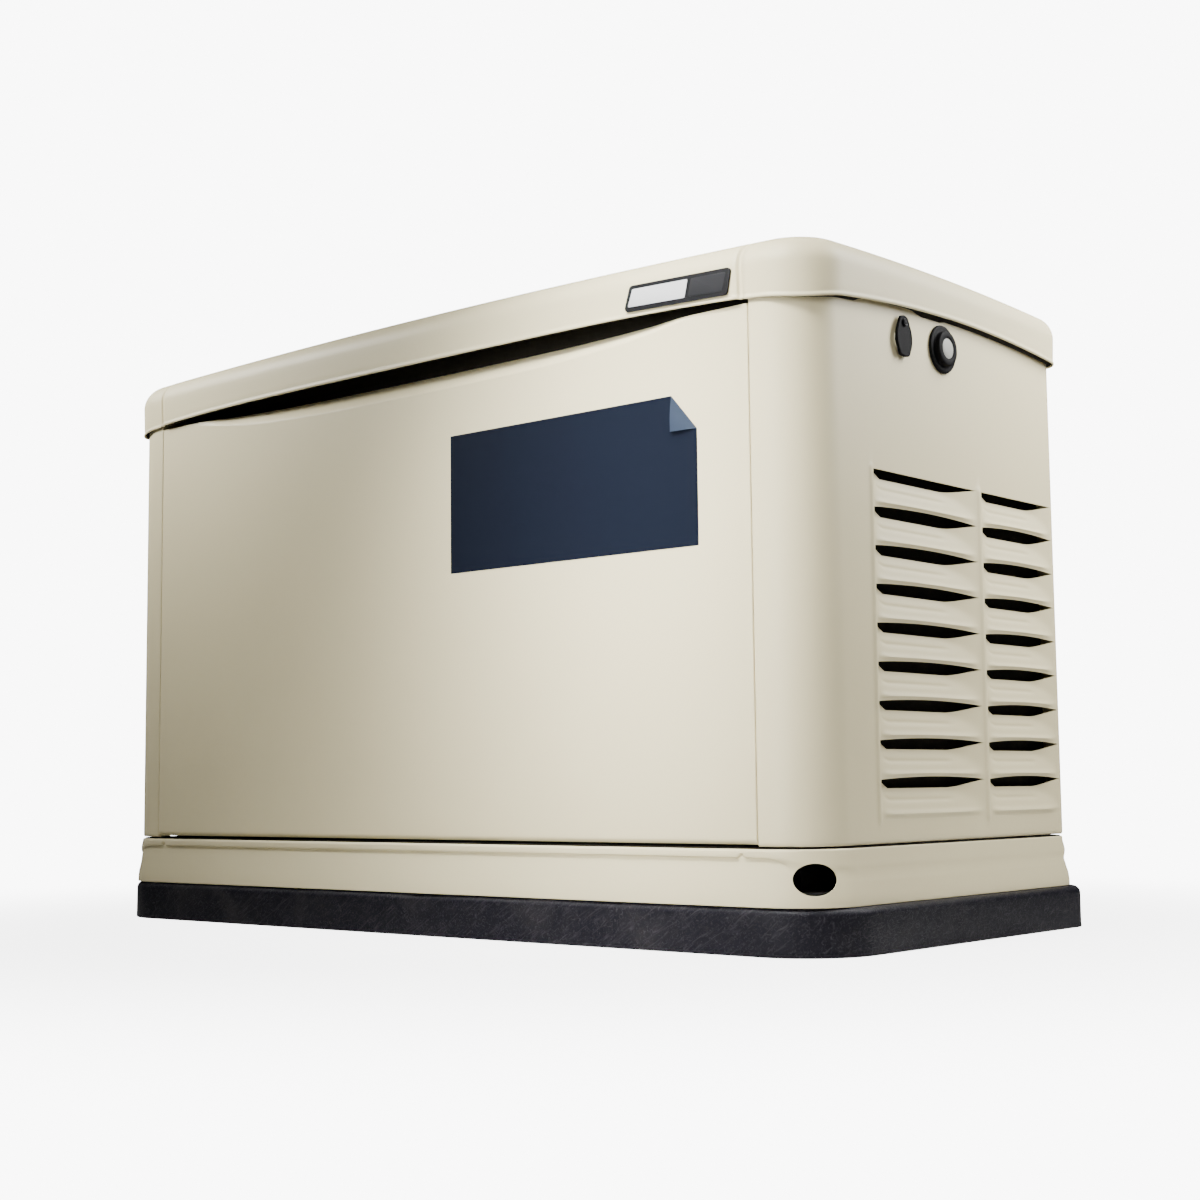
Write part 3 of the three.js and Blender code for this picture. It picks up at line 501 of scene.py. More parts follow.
def pale_threads(tree, where, turn, scale):
    """Mask of fibres drawn out along one direction."""
    drawn_out = stretched(tree, stretched(tree, where, (1, 1, 1), turn), (1.0, 9.0, 9.0))
    return remap(tree, noise(tree, drawn_out, scale, 6.0, 0.62, 2.4), 0.54, 0.8)


def composite_material(colour, wisps):
    """Dark moulded composite, marbled with pale fibrous wisps and fine scratches."""
    material, tree, shader = new_material("marbled_composite")
    where = object_place(tree)
    veil = noise(tree, where, 7.0, 8.0, 0.6, 1.2)
    hairs = maths(
        tree, "MAXIMUM", pale_threads(tree, where, (0.7, 0.5, 0.3), 16.0),
        pale_threads(tree, where, (-0.5, 0.9, 1.1), 21.0))
    pale = blend_colours(tree, remap(tree, veil, 0.48, 0.75), (*colour, 1),
                         (*[c * 0.35 for c in wisps], 1))
    marbled = blend_colours(tree, maths(tree, "MULTIPLY", hairs, 0.7), pale, (*wisps, 1))
    settled = group_node(tree, "settled_dust", {"Amount": 0.05})
    dusty = blend_colours(tree, settled, marbled, (0.25, 0.235, 0.22, 1))
    tree.links.new(dusty, shader.inputs["Base Color"])
    tree.links.new(remap(tree, veil, 0, 1, 0.32, 0.6), shader.inputs["Roughness"])
    shader.inputs["Specular IOR Level"].default_value = 0.14
    set_bump(tree, maths(tree, "ADD", hairs, veil), 0.6, 0.5)
    return material


def brushed_material(name, colour, roughness, stretch=(2.0, 2.0, 60.0), metallic=1.0):
    """Metal with fine brush lines along one way."""
    material = finish_material(name, colour, roughness, metallic=metallic, drift=0.12,
                               drift_scale=9, dust=0.05, grain=900, grain_depth=0.02)
    tree = material.node_tree
    lines = noise(tree, stretched(tree, object_place(tree), stretch), 30.0, 3.0)
    set_bump(tree, lines, 0.35, 0.05)
    return material


def exhaust_material():
    """Aluminised steel, heat-tinted in straw and blue bands."""
    material = finish_material("heat_tinted_steel", (0.3, 0.27, 0.23), 0.42, metallic=1.0,
                               grain=500, grain_depth=0.12, drift=0.4, drift_scale=7, dust=0.15)
    tree = material.node_tree
    shader = tree.nodes["Principled BSDF"]
    plain = shader.inputs["Base Color"].links[0].from_socket
    heat = noise(tree, object_place(tree), 5.0, 3.0)
    tinted = blend_colours(tree, remap(tree, heat, 0.48, 0.66), plain, (0.16, 0.13, 0.17, 1))
    tree.links.new(tinted, shader.inputs["Base Color"])
    return material


class GENERATOR_OT_finishes(bpy.types.Operator):
    """Make the shared node groups and every material"""

    bl_idname = "generator.finishes"
    bl_label = "Finishes"

    def execute(self, context):
        case, pad = context.scene.generator_case, context.scene.generator_pad
        for make in (grain_group, drift_group, wear_group, dust_group):
            make()
        finish_material("beige_powder_coat", case.paint, 0.5, grain=620, grain_depth=0.09,
                        drift=0.06, drift_scale=3, wear=0.12, wear_colour=(0.7, 0.66, 0.56),
                        dust=0.05, rough_swing=0.08, specular=0.4)
        composite_material(pad.colour, pad.wisps)
        finish_material("zinc_plate", (0.48, 0.47, 0.43), 0.34, metallic=1.0, grain=400,
                        grain_depth=0.06, drift=0.3, drift_scale=40, wear=0.3, dust=0.1)
        brushed_material("bare_steel", (0.36, 0.355, 0.35), 0.3)
        exhaust_material()
        finish_material("galvanised_sheet", (0.42, 0.435, 0.44), 0.42, metallic=1.0, grain=160,
                        grain_depth=0.05, drift=0.5, drift_scale=55, dust=0.2)
        finish_material("chrome", (0.72, 0.72, 0.73), 0.12, metallic=1.0, grain=900,
                        grain_depth=0.01, drift=0.05, dust=0.03, rough_swing=0.06)
        finish_material("black_plastic", (0.007, 0.007, 0.0078), 0.5, grain=900,
                        grain_depth=0.1, drift=0.3, wear=0.2, wear_colour=(0.03, 0.03, 0.03),
                        dust=0.03, specular=0.12)
        finish_material("grey_plastic", (0.09, 0.1, 0.11), 0.45, grain=900, grain_depth=0.1,
                        drift=0.12, wear=0.25, wear_colour=(0.2, 0.21, 0.22), dust=0.15)
        finish_material("lamp_glass", (0.33, 0.33, 0.295), 0.6, grain=1400, grain_depth=0.05,
                        drift=0.15, drift_scale=60, dust=0, coat=0.08, specular=0.25)
        finish_material("display_glass", (0.012, 0.02, 0.018), 0.12, grain=1200,
                        grain_depth=0.01, drift=0.1, dust=0.04, coat=0.8)
        finish_material("rubber", (0.0036, 0.0034, 0.0038), 0.6, grain=800, grain_depth=0.12,
                        drift=0.3, wear=0.15, wear_colour=(0.014, 0.014, 0.015), dust=0.01,
                        specular=0.06)
        # near-black foam, used as painted shade in the case's gaps and openings
        finish_material("acoustic_foam", (0.012, 0.0105, 0.007), 0.95, grain=260, grain_depth=0.8,
                        drift=0.6, drift_scale=40, dust=0.1, specular=0.1)
        finish_material("cast_aluminium", (0.4, 0.405, 0.41), 0.5, metallic=0.9, grain=420,
                        grain_depth=0.35, drift=0.25, drift_scale=14, wear=0.5,
                        wear_colour=(0.68, 0.69, 0.7), dust=0.25)
        finish_material("black_paint", (0.016, 0.016, 0.017), 0.36, grain=500,
                        grain_depth=0.1, drift=0.2, wear=0.3, wear_colour=(0.16, 0.16, 0.16),
                        dust=0.2)
        finish_material("filter_paper", (0.66, 0.56, 0.36), 0.85, grain=1500, grain_depth=0.2,
                        drift=0.15, drift_scale=30, dust=0.1, specular=0.2)
        brushed_material("badge_silver", (0.6, 0.6, 0.6), 0.42, (60.0, 2.0, 2.0), 0.35)
        finish_material("badge_graphite", (0.015, 0.0152, 0.0165), 0.45, grain=1300,
                        grain_depth=0.03, drift=0.08, dust=0, specular=0.12)
        finish_material("label_navy", (0.0056, 0.0076, 0.0142), 0.6, grain=1600,
                        grain_depth=0.03, drift=0.06, drift_scale=6, dust=0, specular=0.03)
        finish_material("label_backing", (0.019, 0.028, 0.046), 0.6, grain=1600,
                        grain_depth=0.03, drift=0.15, drift_scale=20, dust=0, specular=0.12)
        for name, colour in (
                ("red_plastic", (0.42, 0.015, 0.012)), ("green_plastic", (0.012, 0.16, 0.04)),
                ("blue_plastic", (0.014, 0.08, 0.32)), ("yellow_plastic", (0.68, 0.4, 0.02))):
            finish_material(name, colour, 0.35, grain=1000, grain_depth=0.08, drift=0.08,
                            wear=0.3, wear_colour=[min(1, c * 1.6 + 0.05) for c in colour])
        return {"FINISHED"}


# ---- pad and base ---------------------------------------------------------------------------

PAD = {"half": 609, "width": 286, "corner": 86, "rear_corner": 32, "height": 50}
BASE = {
    "half": 600, "width": 284, "corner": 74, "rear_corner": 44, "wall": 3, "foot": 50.3,
    "top": 109.9,
}
BAND = {"proud": 3.2, "low": 101.5, "sink": 12, "faded_at": 0.62, "notch_x": 497}
HOLE = {"width": 46, "height": 33, "z": 79}
SILL = 112.4  # the foot of the end panels, which stand just over the base


class GENERATOR_OT_pad(bpy.types.Operator):
    """Mould the composite pad with its rounded edge and slightly wavy sides"""

    bl_idname = "generator.pad"
    bl_label = "Mounting Pad"

    def execute(self, context):
        edge = context.scene.generator_pad.edge / MM
        flat = PAD["height"] - edge
        profile = [(1.5, 0), (0.4, 1.5), (0, 4), (0, 14), (0, 26), (0, flat)]
        profile += [(edge * (1 - math.cos(a)), flat + edge * math.sin(a))
                    for a in spaced(0, math.pi / 2, 9)[1:]]
        rings = []
        for inset, z in profile:
            ring = outline(PAD["half"] - inset, inset - PAD["width"], PAD["width"] - inset,
                           PAD["corner"] - inset, PAD["rear_corner"] - inset, arc=28,
                           along=spaced(-1, 1, 91)[1:-1], across=26)
            sway = 0.8 if 4 <= z < PAD["height"] else 0
            rings.append([self.waved(x, y, z, sway) for x, y in ring])
        piece = lofted("composite_pad", rings)
        place(piece, "chassis", "marbled_composite", ["mounting_pad"])
        return {"FINISHED"}

    @staticmethod
    def waved(x, y, z, sway):
        """The point pulled in a little, as the mould left it."""
        dip = (0.5 + 0.25 * math.sin(x / 47 + y / 39 + z / 31)
               + 0.25 * math.sin(x / 21 - y / 27 + 1.3))
        crease = max(0, math.sin(x / 71 + y / 58)) ** 24
        length = math.hypot(x, y)
        pull = sway * (dip + 0.8 * crease) / length
        return (x - x * pull, y - y * pull * 2, z)


class GENERATOR_OT_base(bpy.types.Operator):
    """Press the flared base frame with its upper band and lifting holes"""

    bl_idname = "generator.base"
    bl_label = "Base Frame"

    def execute(self, context):
        half, width, corner = BASE["half"], BASE["width"], BASE["corner"]
        by_notch = [BAND["notch_x"] + d for d in (-9, -5, -2.5, 0, 2.5, 6, 12, 20)]
        stations = sorted({round(x / (half - corner), 6) for x in (
            *spaced(-480, 480, 49), *by_notch, *(-x for x in by_notch))})
        plan = outline(half, -width, width, corner, BASE["rear_corner"], arc=24,
                       along=stations, across=16)
        rows = []
        for level in range(len(self.profile(0, 0))):
            row = []
            for x, y in plan:
                turn = corner_share(x, y, half, -width, width, self.corner_at(y))
                inset, z = self.profile(turn if y < 0 else 1, abs(x))[level]
                row.append((*self.inward(x, y, inset), z))
            rows.append(row)
        piece = lofted("base_frame_pressing", rows, foot=False, head=False)
        settle(piece, "SOLIDIFY", thickness=BASE["wall"] * MM, offset=-1)
        for sx in (-1, 1):
            for sy in (-1, 1):
                cut_out(piece, self.hole_cutter(sx, sy))
        self.inner_ledge()
        # painted shade: a black strip for the dark line under the body
        self.shade_strip()
        place(piece, "chassis", "beige_powder_coat", ["base_frame"])
        return {"FINISHED"}

    @staticmethod
    def corner_at(y):
        """The radius of the corners on this side of the middle."""
        return BASE["corner"] if y < 0 else BASE["rear_corner"]

    @staticmethod
    def inward(x, y, inset):
        """The outline point moved in by inset, square to the outline."""
        half, width = BASE["half"], BASE["width"]
        corner = GENERATOR_OT_base.corner_at(y)
        cx = max(-(half - corner), min(half - corner, x))
        cy = max(-(width - corner), min(width - corner, y))
        dx, dy = x - cx, y - cy
        size = math.hypot(dx, dy)
        return x - dx / size * inset, y - dy / size * inset

    @staticmethod
    def profile(turn, x):
        """Insets and heights up the wall. The band fades and sinks round the corner."""
        sunk = smooth(turn / BAND["faded_at"])
        notch = max(0.0, 1 - abs(x - BAND["notch_x"]) / 5) if turn == 0 else 0.0
        proud = BAND["proud"] * (1 - sunk) * (1 - notch)
        soft = 1 + 4 * smooth(turn / 0.4)
        low = BAND["low"] - BAND["sink"] * sunk + 3 * notch
        top = 5 + 1.9 * sunk

        def lean(z):
            return 7 * (z - 58) / 50

        return [
            (0.6, BASE["foot"]), (0, 51), (0, 54), (0.15, 58), (lean(62), 62), (lean(67), 67),
            (lean(low - 15), low - 15), (lean(low - 2.4 * soft), low - 2.4 * soft),
            (lean(low) - proud * 0.12, low - 1.1 * soft), (lean(low) - proud * 0.9, low),
            (lean(low) - proud, low + soft), (top - 0.6 * proud, 105.6),
            (top - 0.55 * proud, 107.6), (top + 0.4 - 0.3 * proud, 109.2),
            (8, BASE["top"])]

    @staticmethod
    def hole_cutter(sx, sy):
        """An oval rod through the corner's wall."""
        inset = GENERATOR_OT_base.corner_at(sy) * (1 - math.sqrt(0.5))
        reach, side = BASE["half"] - inset, BASE["width"] - inset
        turn = math.atan2(sy, sx)
        rings = []
        for out in (-30, 30):
            ring = []
            for a in circle_angles(56):
                across = HOLE["width"] / 2 * math.cos(a)
                ring.append((
                    sx * reach + out * math.cos(turn) - across * math.sin(turn),
                    sy * side + out * math.sin(turn) + across * math.cos(turn),
                    HOLE["z"] + HOLE["height"] / 2 * math.sin(a)))
            rings.append(ring)
        return lofted("hole_cutter", rings)

    @staticmethod
    def loop(name, section):
        """A closed band round the base from the insets and heights of its section."""
        plan = outline(BASE["half"], -BASE["width"], BASE["width"], BASE["corner"],
                       BASE["rear_corner"], arc=10)
        rings = [[(*GENERATOR_OT_base.inward(x, y, inset), z) for x, y in plan]
                 for inset, z in (*section, section[0])]
        piece = lofted(name, rings, foot=False, head=False)
        settle(piece, "WELD", merge_threshold=1e-5)
        return piece

    def inner_ledge(self):
        """The flange turned in along the top of the wall, which carries the panels."""
        piece = self.loop("base_top_flange", (
            (10.4, 103), (10.4, 106.8), (11.2, 107.6), (32, 107.6), (32, 105.6), (13, 105.6),
            (12.4, 103)))
        place(piece, "chassis", "beige_powder_coat")

    def shade_strip(self):
        """A black strip that the panels' feet stand over: painted shade for the dark line between
        body and base.
        """
        piece = self.loop("base_seal", ((9.6, 107.8), (9.6, 110.9), (31, 110.9), (31, 107.8)))
        place(piece, "chassis", "acoustic_foam")


# ---- end panels -----------------------------------------------------------------------------

BODY = {
    "half": 590, "front": -276, "rear": 265, "corner": 60, "rear_corner": 12, "top": 712,
    "door": 515, "door_gap": 0.3,
}
LOCK_AT = (BODY["half"], -91, 668)
LAMP_AT = (BODY["half"], -2.5, 672)
COLUMNS = ((-154, 68), (80, 252))
LOUVRE_TOP = 516
BLADE_LEVELS = (
    0, 0.03, 0.08, 0.15, 0.23, 0.31, 0.37, 0.42, 0.47, 0.53, 0.6, 0.67, 0.73, 0.78, 0.82,
    0.86, 0.9, 0.94, 0.97, 1)


def blade_stations(length):
    """Stations along a louvre, close together at its front end."""
    first = [0, 0.5, 1.5, 3, 5, 8, 9.5, 12, 15.5, 19.5, 24]
    return first + spaced(24, length, 30)[1:]


def rib(y):
    """How proud the soft upright ribs beside the louvres stand."""
    return (1.7 * math.exp(-((y + 157.5) / 3.2) ** 2) + 2.2 * math.exp(-((y - 74) / 4.4) ** 2)
            + 1.3 * math.exp(-((y - 256.5) / 3) ** 2))


def pressed_in(s, left, v, ramp, depth):
    """How far a louvre is pressed in: most along its slit, rising down and to its rear end."""
    blur = 1.1
    down = depth * clamp01(1 - v / 0.8) ** 1.15
    back = depth * clamp01(left / ramp) * (1 + 0.25 * v)
    mixed = clamp01(0.5 + 0.5 * (back - down) / blur)
    both = back + (down - back) * mixed - blur * mixed * (1 - mixed)
    quick = math.sqrt(max(0.0, 1 - (1 - clamp01(s / 11)) ** 2))
    return max(0.0, both) * quick


def blade(name, start, length, pitch, depth, slit, foot):
    """One pressed louvre from its slit down to the next. A foot louvre ends in flat sheet.
    s runs along it from its front end, v from 0 at its upper edge to 1 at its foot."""
    ramp = 0.36 * length
    points = []
    stations = blade_stations(length)
    for v in reversed(BLADE_LEVELS):
        for s in stations:
            left = length - s
            ridge = (2.3 * smooth(s / 16) * smooth(left / 34)
                     * math.exp(-((v - 0.86) / 0.075) ** 2))
            groove = (1.2 * smooth((s - 6) / 14) * smooth((left - ramp * 0.75) / 22)
                      * math.exp(-((v - 0.42) / 0.06) ** 2))
            out = rib(start + s) - pressed_in(s, left, v, ramp, depth) + ridge - groove
            opened = clamp01((s - 8) / 16) ** 0.85 * smooth(0.15 + left / ramp * 0.9)
            drop = slit * opened * clamp01(left / 8)
            arch = 0 if foot else 3.4 * math.sin(math.pi * clamp01(s / length)) ** 0.8
            z = -drop * (1 - v) ** 1.5 - v * (pitch - arch * v ** 4)
            points.append((BODY["half"] + out, start + s, z))
    return build_mesh(name, points, strip_faces(len(BLADE_LEVELS), len(stations)))


def blade_column_tree():
    """Geometry nodes that stack louvres below a slit line and weld them to the panel."""
    tree, start, end = new_group("louvre_column", "GeometryNodeTree")
    for name, kind, default in (
            ("Geometry", "Geometry", None), ("Louvre", "Object", None),
            ("Foot Louvre", "Object", None), ("Rows", "Int", 9), ("Pitch", "Float", 0.042),
            ("Top", "Float", 0.516), ("Paint", "Material", None)):
        socket(tree, name, "INPUT", f"NodeSocket{kind}", default)
    socket(tree, "Geometry", "OUTPUT", "NodeSocketGeometry")
    value = start.outputs
    upper = maths(tree, "SUBTRACT", value["Rows"], 1.0)
    fall = maths(tree, "MULTIPLY", value["Pitch"], -1.0)
    lowest = maths(tree, "MULTIPLY_ADD", upper, fall, value["Top"])
    step, first, last = (
        add_node(tree, "ShaderNodeCombineXYZ", {"Z": z}).outputs[0]
        for z in (fall, value["Top"], lowest))
    line = add_node(tree, "GeometryNodeMeshLine", {
        "Count": upper, "Start Location": first, "Offset": step}, mode="OFFSET")
    louvre, foot = (
        add_node(tree, "GeometryNodeObjectInfo", {"Object": value[name]}).outputs["Geometry"]
        for name in ("Louvre", "Foot Louvre"))
    stack = add_node(tree, "GeometryNodeInstanceOnPoints", {
        "Points": line.outputs["Mesh"], "Instance": louvre})
    lowered = add_node(tree, "GeometryNodeTransform", {"Geometry": foot, "Translation": last})
    joined = add_node(tree, "GeometryNodeJoinGeometry")
    for part in (lowered.outputs[0], stack.outputs["Instances"], value["Geometry"]):
        tree.links.new(part, joined.inputs[0])
    real = add_node(tree, "GeometryNodeRealizeInstances", {"Geometry": joined.outputs[0]})
    welded = add_node(tree, "GeometryNodeMergeByDistance", {
        "Geometry": real.outputs[0], "Distance": 2e-5})
    coated = add_node(tree, "GeometryNodeSetMaterial", {
        "Geometry": welded.outputs[0], "Material": value["Paint"]})
    tree.links.new(coated.outputs[0], end.inputs[0])
    return tree


def grow(piece, tree, inputs):
    """Runs a geometry node tree with named inputs and keeps the plain mesh it makes."""
    modifier = piece.modifiers.new(tree.name, "NODES")
    modifier.node_group = tree
    for item in tree.interface.items_tree:
        if item.item_type == "SOCKET" and item.in_out == "INPUT" and item.name in inputs:
            modifier[item.identifier] = inputs[item.name]
    piece.update_tag()
    return keep_result(piece)


class GENERATOR_OT_end_panels(bpy.types.Operator):
    """Press both end panels, each one sheet round its corner with two columns of louvres"""

    bl_idname = "generator.end_panels"
    bl_label = "End Panels"

    def execute(self, context):
        case, louvre = context.scene.generator_case, context.scene.generator_louvres
        pitch, rows = louvre.pitch / MM, louvre.rows
        low = LOUVRE_TOP - rows * pitch
        heights = [SILL, SILL + 0.6, SILL + 1.7, 117, 122, low - 8, low - 5, low - 2.5]
        heights += [low + pitch * (row + 1 - v) for row in range(rows)
                    for v in reversed(BLADE_LEVELS[1:])]
        heights += [LOUVRE_TOP + d for d in (0, 2.5, 5, 8)]
        heights += [*spaced(540, 700, 9), BODY["top"]]
        plan = self.plan()
        points = []
        for z in heights:
            fade = smooth((z - low + 8) / 8) * smooth((LOUVRE_TOP + 8 - z) / 8)
            foot = 1.6 * (1 - clamp01((z - SILL) / 3)) ** 2
            for x, y, on_side in plan:
                out = (rib(y) * fade if on_side else 0) - foot
                points.append((x + out if x > 520 else x, y + (foot if y < -270 else 0), z))

        def keep(r, c):
            z = (heights[r] + heights[r + 1]) / 2
            y = (plan[c][1] + plan[c + 1][1]) / 2
            side = plan[c][2] and plan[c + 1][2]
            return not (side and low < z < LOUVRE_TOP and any(a < y < b for a, b in COLUMNS))

        right = build_mesh("right_end_pressing", points,
                           strip_faces(len(heights), len(plan), keep=keep))
        tree = blade_column_tree()
        paint = bpy.data.materials["beige_powder_coat_finish"]
        for start, end in COLUMNS:
            sizes = (start, end - start, pitch, louvre.depth / MM, louvre.slit / MM)
            upper, foot = blade("louvre", *sizes, False), blade("foot_louvre", *sizes, True)
            grow(right, tree, {
                "Louvre": upper, "Foot Louvre": foot, "Rows": rows, "Pitch": louvre.pitch,
                "Top": LOUVRE_TOP * MM, "Paint": paint})
            bpy.data.objects.remove(upper)
            bpy.data.objects.remove(foot)
        settle(right, "SOLIDIFY", thickness=case.sheet, offset=-1)
        cut_out(right, turned("lock_cutter", [(11.3, -30), (11.3, 30)], LOCK_AT))
        left = mirrored(right, "left_end_pressing")
        cut_out(right, turned("lamp_cutter", [(20.3, -30), (20.3, 30)], LAMP_AT))
        for piece, node in ((right, "right_end_panel"), (left, "left_end_panel")):
            place(piece, "chassis", "beige_powder_coat", [node], angle=40)
        return {"FINISHED"}

    @staticmethod
    def plan():
        """The sheet's outer line from the door's edge round to the rear flange."""
        half, corner, rear_corner = BODY["half"], BODY["corner"], BODY["rear_corner"]
        front, rear, edge = BODY["front"], BODY["rear"], BODY["door"] + BODY["door_gap"]
        points = [(edge, front + d, False) for d in (20, 12, 6, 2.5)]
        points += [(edge + 0.35, front + 1.1, False), (edge + 1.1, front + 0.35, False),
                   (edge + 2.5, front, False), (edge + 8, front, False)]
        points += [(half - corner + corner * math.sin(a), front + corner * (1 - math.cos(a)),
                    False) for a in spaced(0, math.pi / 2, 29)]
        points += [(half, y, True) for y in (
            -210, -200, -190, -180, -172, -166, -163, -160.5, -158.5, -156.5)]
        for start, end in COLUMNS:
            points += [(half, start + s, True) for s in blade_stations(end - start)]
            if end < 100:
                points += [(half, y, True) for y in (70, 72, 74, 76, 78)]
        points += [(half - rear_corner * (1 - math.cos(a)),
                    rear - rear_corner * (1 - math.sin(a)), False)
                   for a in spaced(0, math.pi / 2, 9)]
        points += [(half - 20, rear, False), (half - 30, rear, False)]
        return points


def foam_slab(name, low, high, cell=14):
    """A slab of wavy, near-black foam between two corners, which paints the shade seen through
    the case's openings and gaps. Its two large faces are dimpled.
    """
    size = [b - a for a, b in zip(low, high)]
    thin = size.index(min(size))
    across, up = [axis for axis in range(3) if axis != thin]
    columns, rows = (max(2, round(size[axis] / cell) * 2 + 1) for axis in (across, up))
    points = []
    for face, way in ((low[thin], 1), (high[thin], -1)):
        for r in range(rows):
            for c in range(columns):
                edge = r in (0, rows - 1) or c in (0, columns - 1)
                dip = 0 if edge or (r + c) % 2 else 0.22 * size[thin]
                point = [0, 0, 0]
                point[thin] = face + way * dip
                point[across] = low[across] + size[across] * c / (columns - 1)
                point[up] = low[up] + size[up] * r / (rows - 1)
                points.append(tuple(point))
    count = rows * columns
    faces = strip_faces(rows, columns)
    faces += [tuple(count + i for i in reversed(face)) for face in faces]
    rim = [*range(columns), *(r * columns + columns - 1 for r in range(1, rows)),
           *(count - 1 - c for c in range(1, columns)),
           *(r * columns for r in range(rows - 2, 0, -1))]
    for i, here in enumerate(rim):
        ahead = rim[(i + 1) % len(rim)]
        faces.append((here, ahead, ahead + count, here + count))
    piece = build_mesh(name, points, faces)
    turn_out(piece)
    return place(piece, "chassis", "acoustic_foam")


class GENERATOR_OT_foam(bpy.types.Operator):
    """Hang near-black foam behind the louvres, the rear slots, the lid's gap and the door's foot:
    painted shade for the inside of the case
    """

    bl_idname = "generator.foam"
    bl_label = "Acoustic Foam"

    def execute(self, context):
        for side, sign in (("right", 1), ("left", -1)):
            near, far = sorted((sign * 568, sign * 574))
            foam_slab(f"louvre_baffle_{side}", (near, -214, 124), (far, 246, 540))
        for side, start in (("left", -430), ("right", 76)):
            foam_slab(f"rear_baffle_{side}", (start, 247, 222), (start + 354, 253, 500))
        # painted shade: black slabs behind the door's top gap and its foot
        foam_slab("header_seal", (-506, -244, 664), (506, -236, 712))
        foam_slab("sill_seal", (-506, -251, 104), (506, -246, 130))
        return {"FINISHED"}


class GENERATOR_OT_rear_panel(bpy.types.Operator):
    """Round the rear panel's pressed edges and slots"""

    bl_idname = "generator.rear_panel"
    bl_label = "Rear Panel"

    def execute(self, context):
        place(cad_copy("rear_panel", "rear_pressing", 0.5), "chassis", "beige_powder_coat",
              ["rear_panel"])
        return {"FINISHED"}


# ---- door -----------------------------------------------------------------------------------

DOOR = {"top": 688, "crease": 663.5, "scoop_end": 458, "scoop_full": 372}
LABEL = {"left": 66, "right": 445, "low": 434, "high": 602.5, "fold_x": 410, "fold_z": 562}


def scoop_crease(x):
    """The height at which the door's face turns back into the hand scoop."""
    reach = 455
    rise = DOOR["top"] - DOOR["crease"]
    return DOOR["crease"] + rise * (min(abs(x), reach) / reach) ** 3.4


class GENERATOR_OT_door(bpy.types.Operator):
    """Press the lift-off door with its hand scoop, rolled foot and side returns"""

    bl_idname = "generator.door"
    bl_label = "Front Door"

    def execute(self, context):
        case = context.scene.generator_case
        half = BODY["door"] - BODY["door_gap"]
        bend = [0.35, 1.1, 2.5, 6]
        across = [-half + d for d in bend] + spaced(-500, -352, 38) + spaced(-340, 340, 41)
        across += spaced(352, 500, 38) + [half - d for d in reversed(bend)]
        up = [SILL + d for d in (2, 2.5, 3.2, 4.2, 5.6, 7.5, 10)] + [130]
        up += spaced(150, 640, 15)
        up += spaced(650, 660, 4) + spaced(662, DOOR["top"], 40)
        rows = []
        for z in up:
            edge = [(-half, BODY["front"] + back, z) for back in (16, 7, 2.5, 1.1)]
            face = [(x, self.face(x, z, half, case.scoop_depth / MM), z) for x in across]
            rows.append(edge + face + [(-x, y, h) for x, y, h in reversed(edge)])
        piece = build_mesh("door_pressing", [p for row in rows for p in row],
                           strip_faces(len(rows), len(rows[0])))
        settle(piece, "SOLIDIFY", thickness=case.sheet, offset=-1)
        place(piece, "door", "beige_powder_coat", ["front_door"], angle=48)
        return {"FINISHED"}

    @staticmethod
    def face(x, z, half, depth):
        """Where the door's outer face stands, along Y."""
        bend = 1.1
        edge = half - abs(x)
        roll = bend - math.sqrt(max(0, bend ** 2 - (bend - min(edge, bend)) ** 2))
        reach = smooth((DOOR["scoop_end"] - abs(x)) / (DOOR["scoop_end"] - DOOR["scoop_full"]))
        up = clamp01((z - scoop_crease(x)) / (DOOR["top"] - DOOR["crease"]))
        foot = clamp01((SILL + 7 - z) / 5)
        return BODY["front"] + roll + depth * reach * up ** 1.15 + 4 * foot ** 2


class GENERATOR_OT_label(bpy.types.Operator):
    """Lay the blank navy label on the door, with one corner turned up"""

    bl_idname = "generator.label"
    bl_label = "Door Label"

    def execute(self, context):
        face = BODY["front"]
        left, right, low, high = (LABEL[k] for k in ("left", "right", "low", "high"))
        fold_x, fold_z = LABEL["fold_x"], LABEL["fold_z"]
        border = [(left, low), (right, low), (right, fold_z), (fold_x, high), (left, high)]
        sheet = lofted("door_label", [
            [(x, face - out, z) for x, z in border] for out in (0.02, 0.3)])
        turn_out(sheet)
        place(sheet, "door", "label_navy")
        self.flap(face, (fold_x, high), (right, fold_z), (fold_x, fold_z))
        return {"FINISHED"}

    @staticmethod
    def flap(face, top, side, tip):
        """The turned-up corner, curling off the door towards its tip."""
        shares = spaced(0, 1, 13)
        points = []
        for t in shares:
            lift = 0.35 + 3.2 * math.sin(t * math.pi * 0.62)
            for s in shares:
                x = (top[0] + (side[0] - top[0]) * s) * (1 - t) + tip[0] * t
                z = (top[1] + (side[1] - top[1]) * s) * (1 - t) + tip[1] * t
                points.append((x, face - lift, z))
        piece = build_mesh(
            "door_label_corner", points, strip_faces(len(shares), len(shares)))
        settle(piece, "SOLIDIFY", thickness=0.25 * MM, offset=0)
        turn_out(piece)
        place(piece, "door", "label_backing")


# ---- lid ------------------------------------------------------------------------------------

LID = {
    "half": 600, "front": -280, "rear": 272, "corner": 64, "rear_corner": 20, "crown": 774,
    "hem": 7, "shoulder": 30,
}


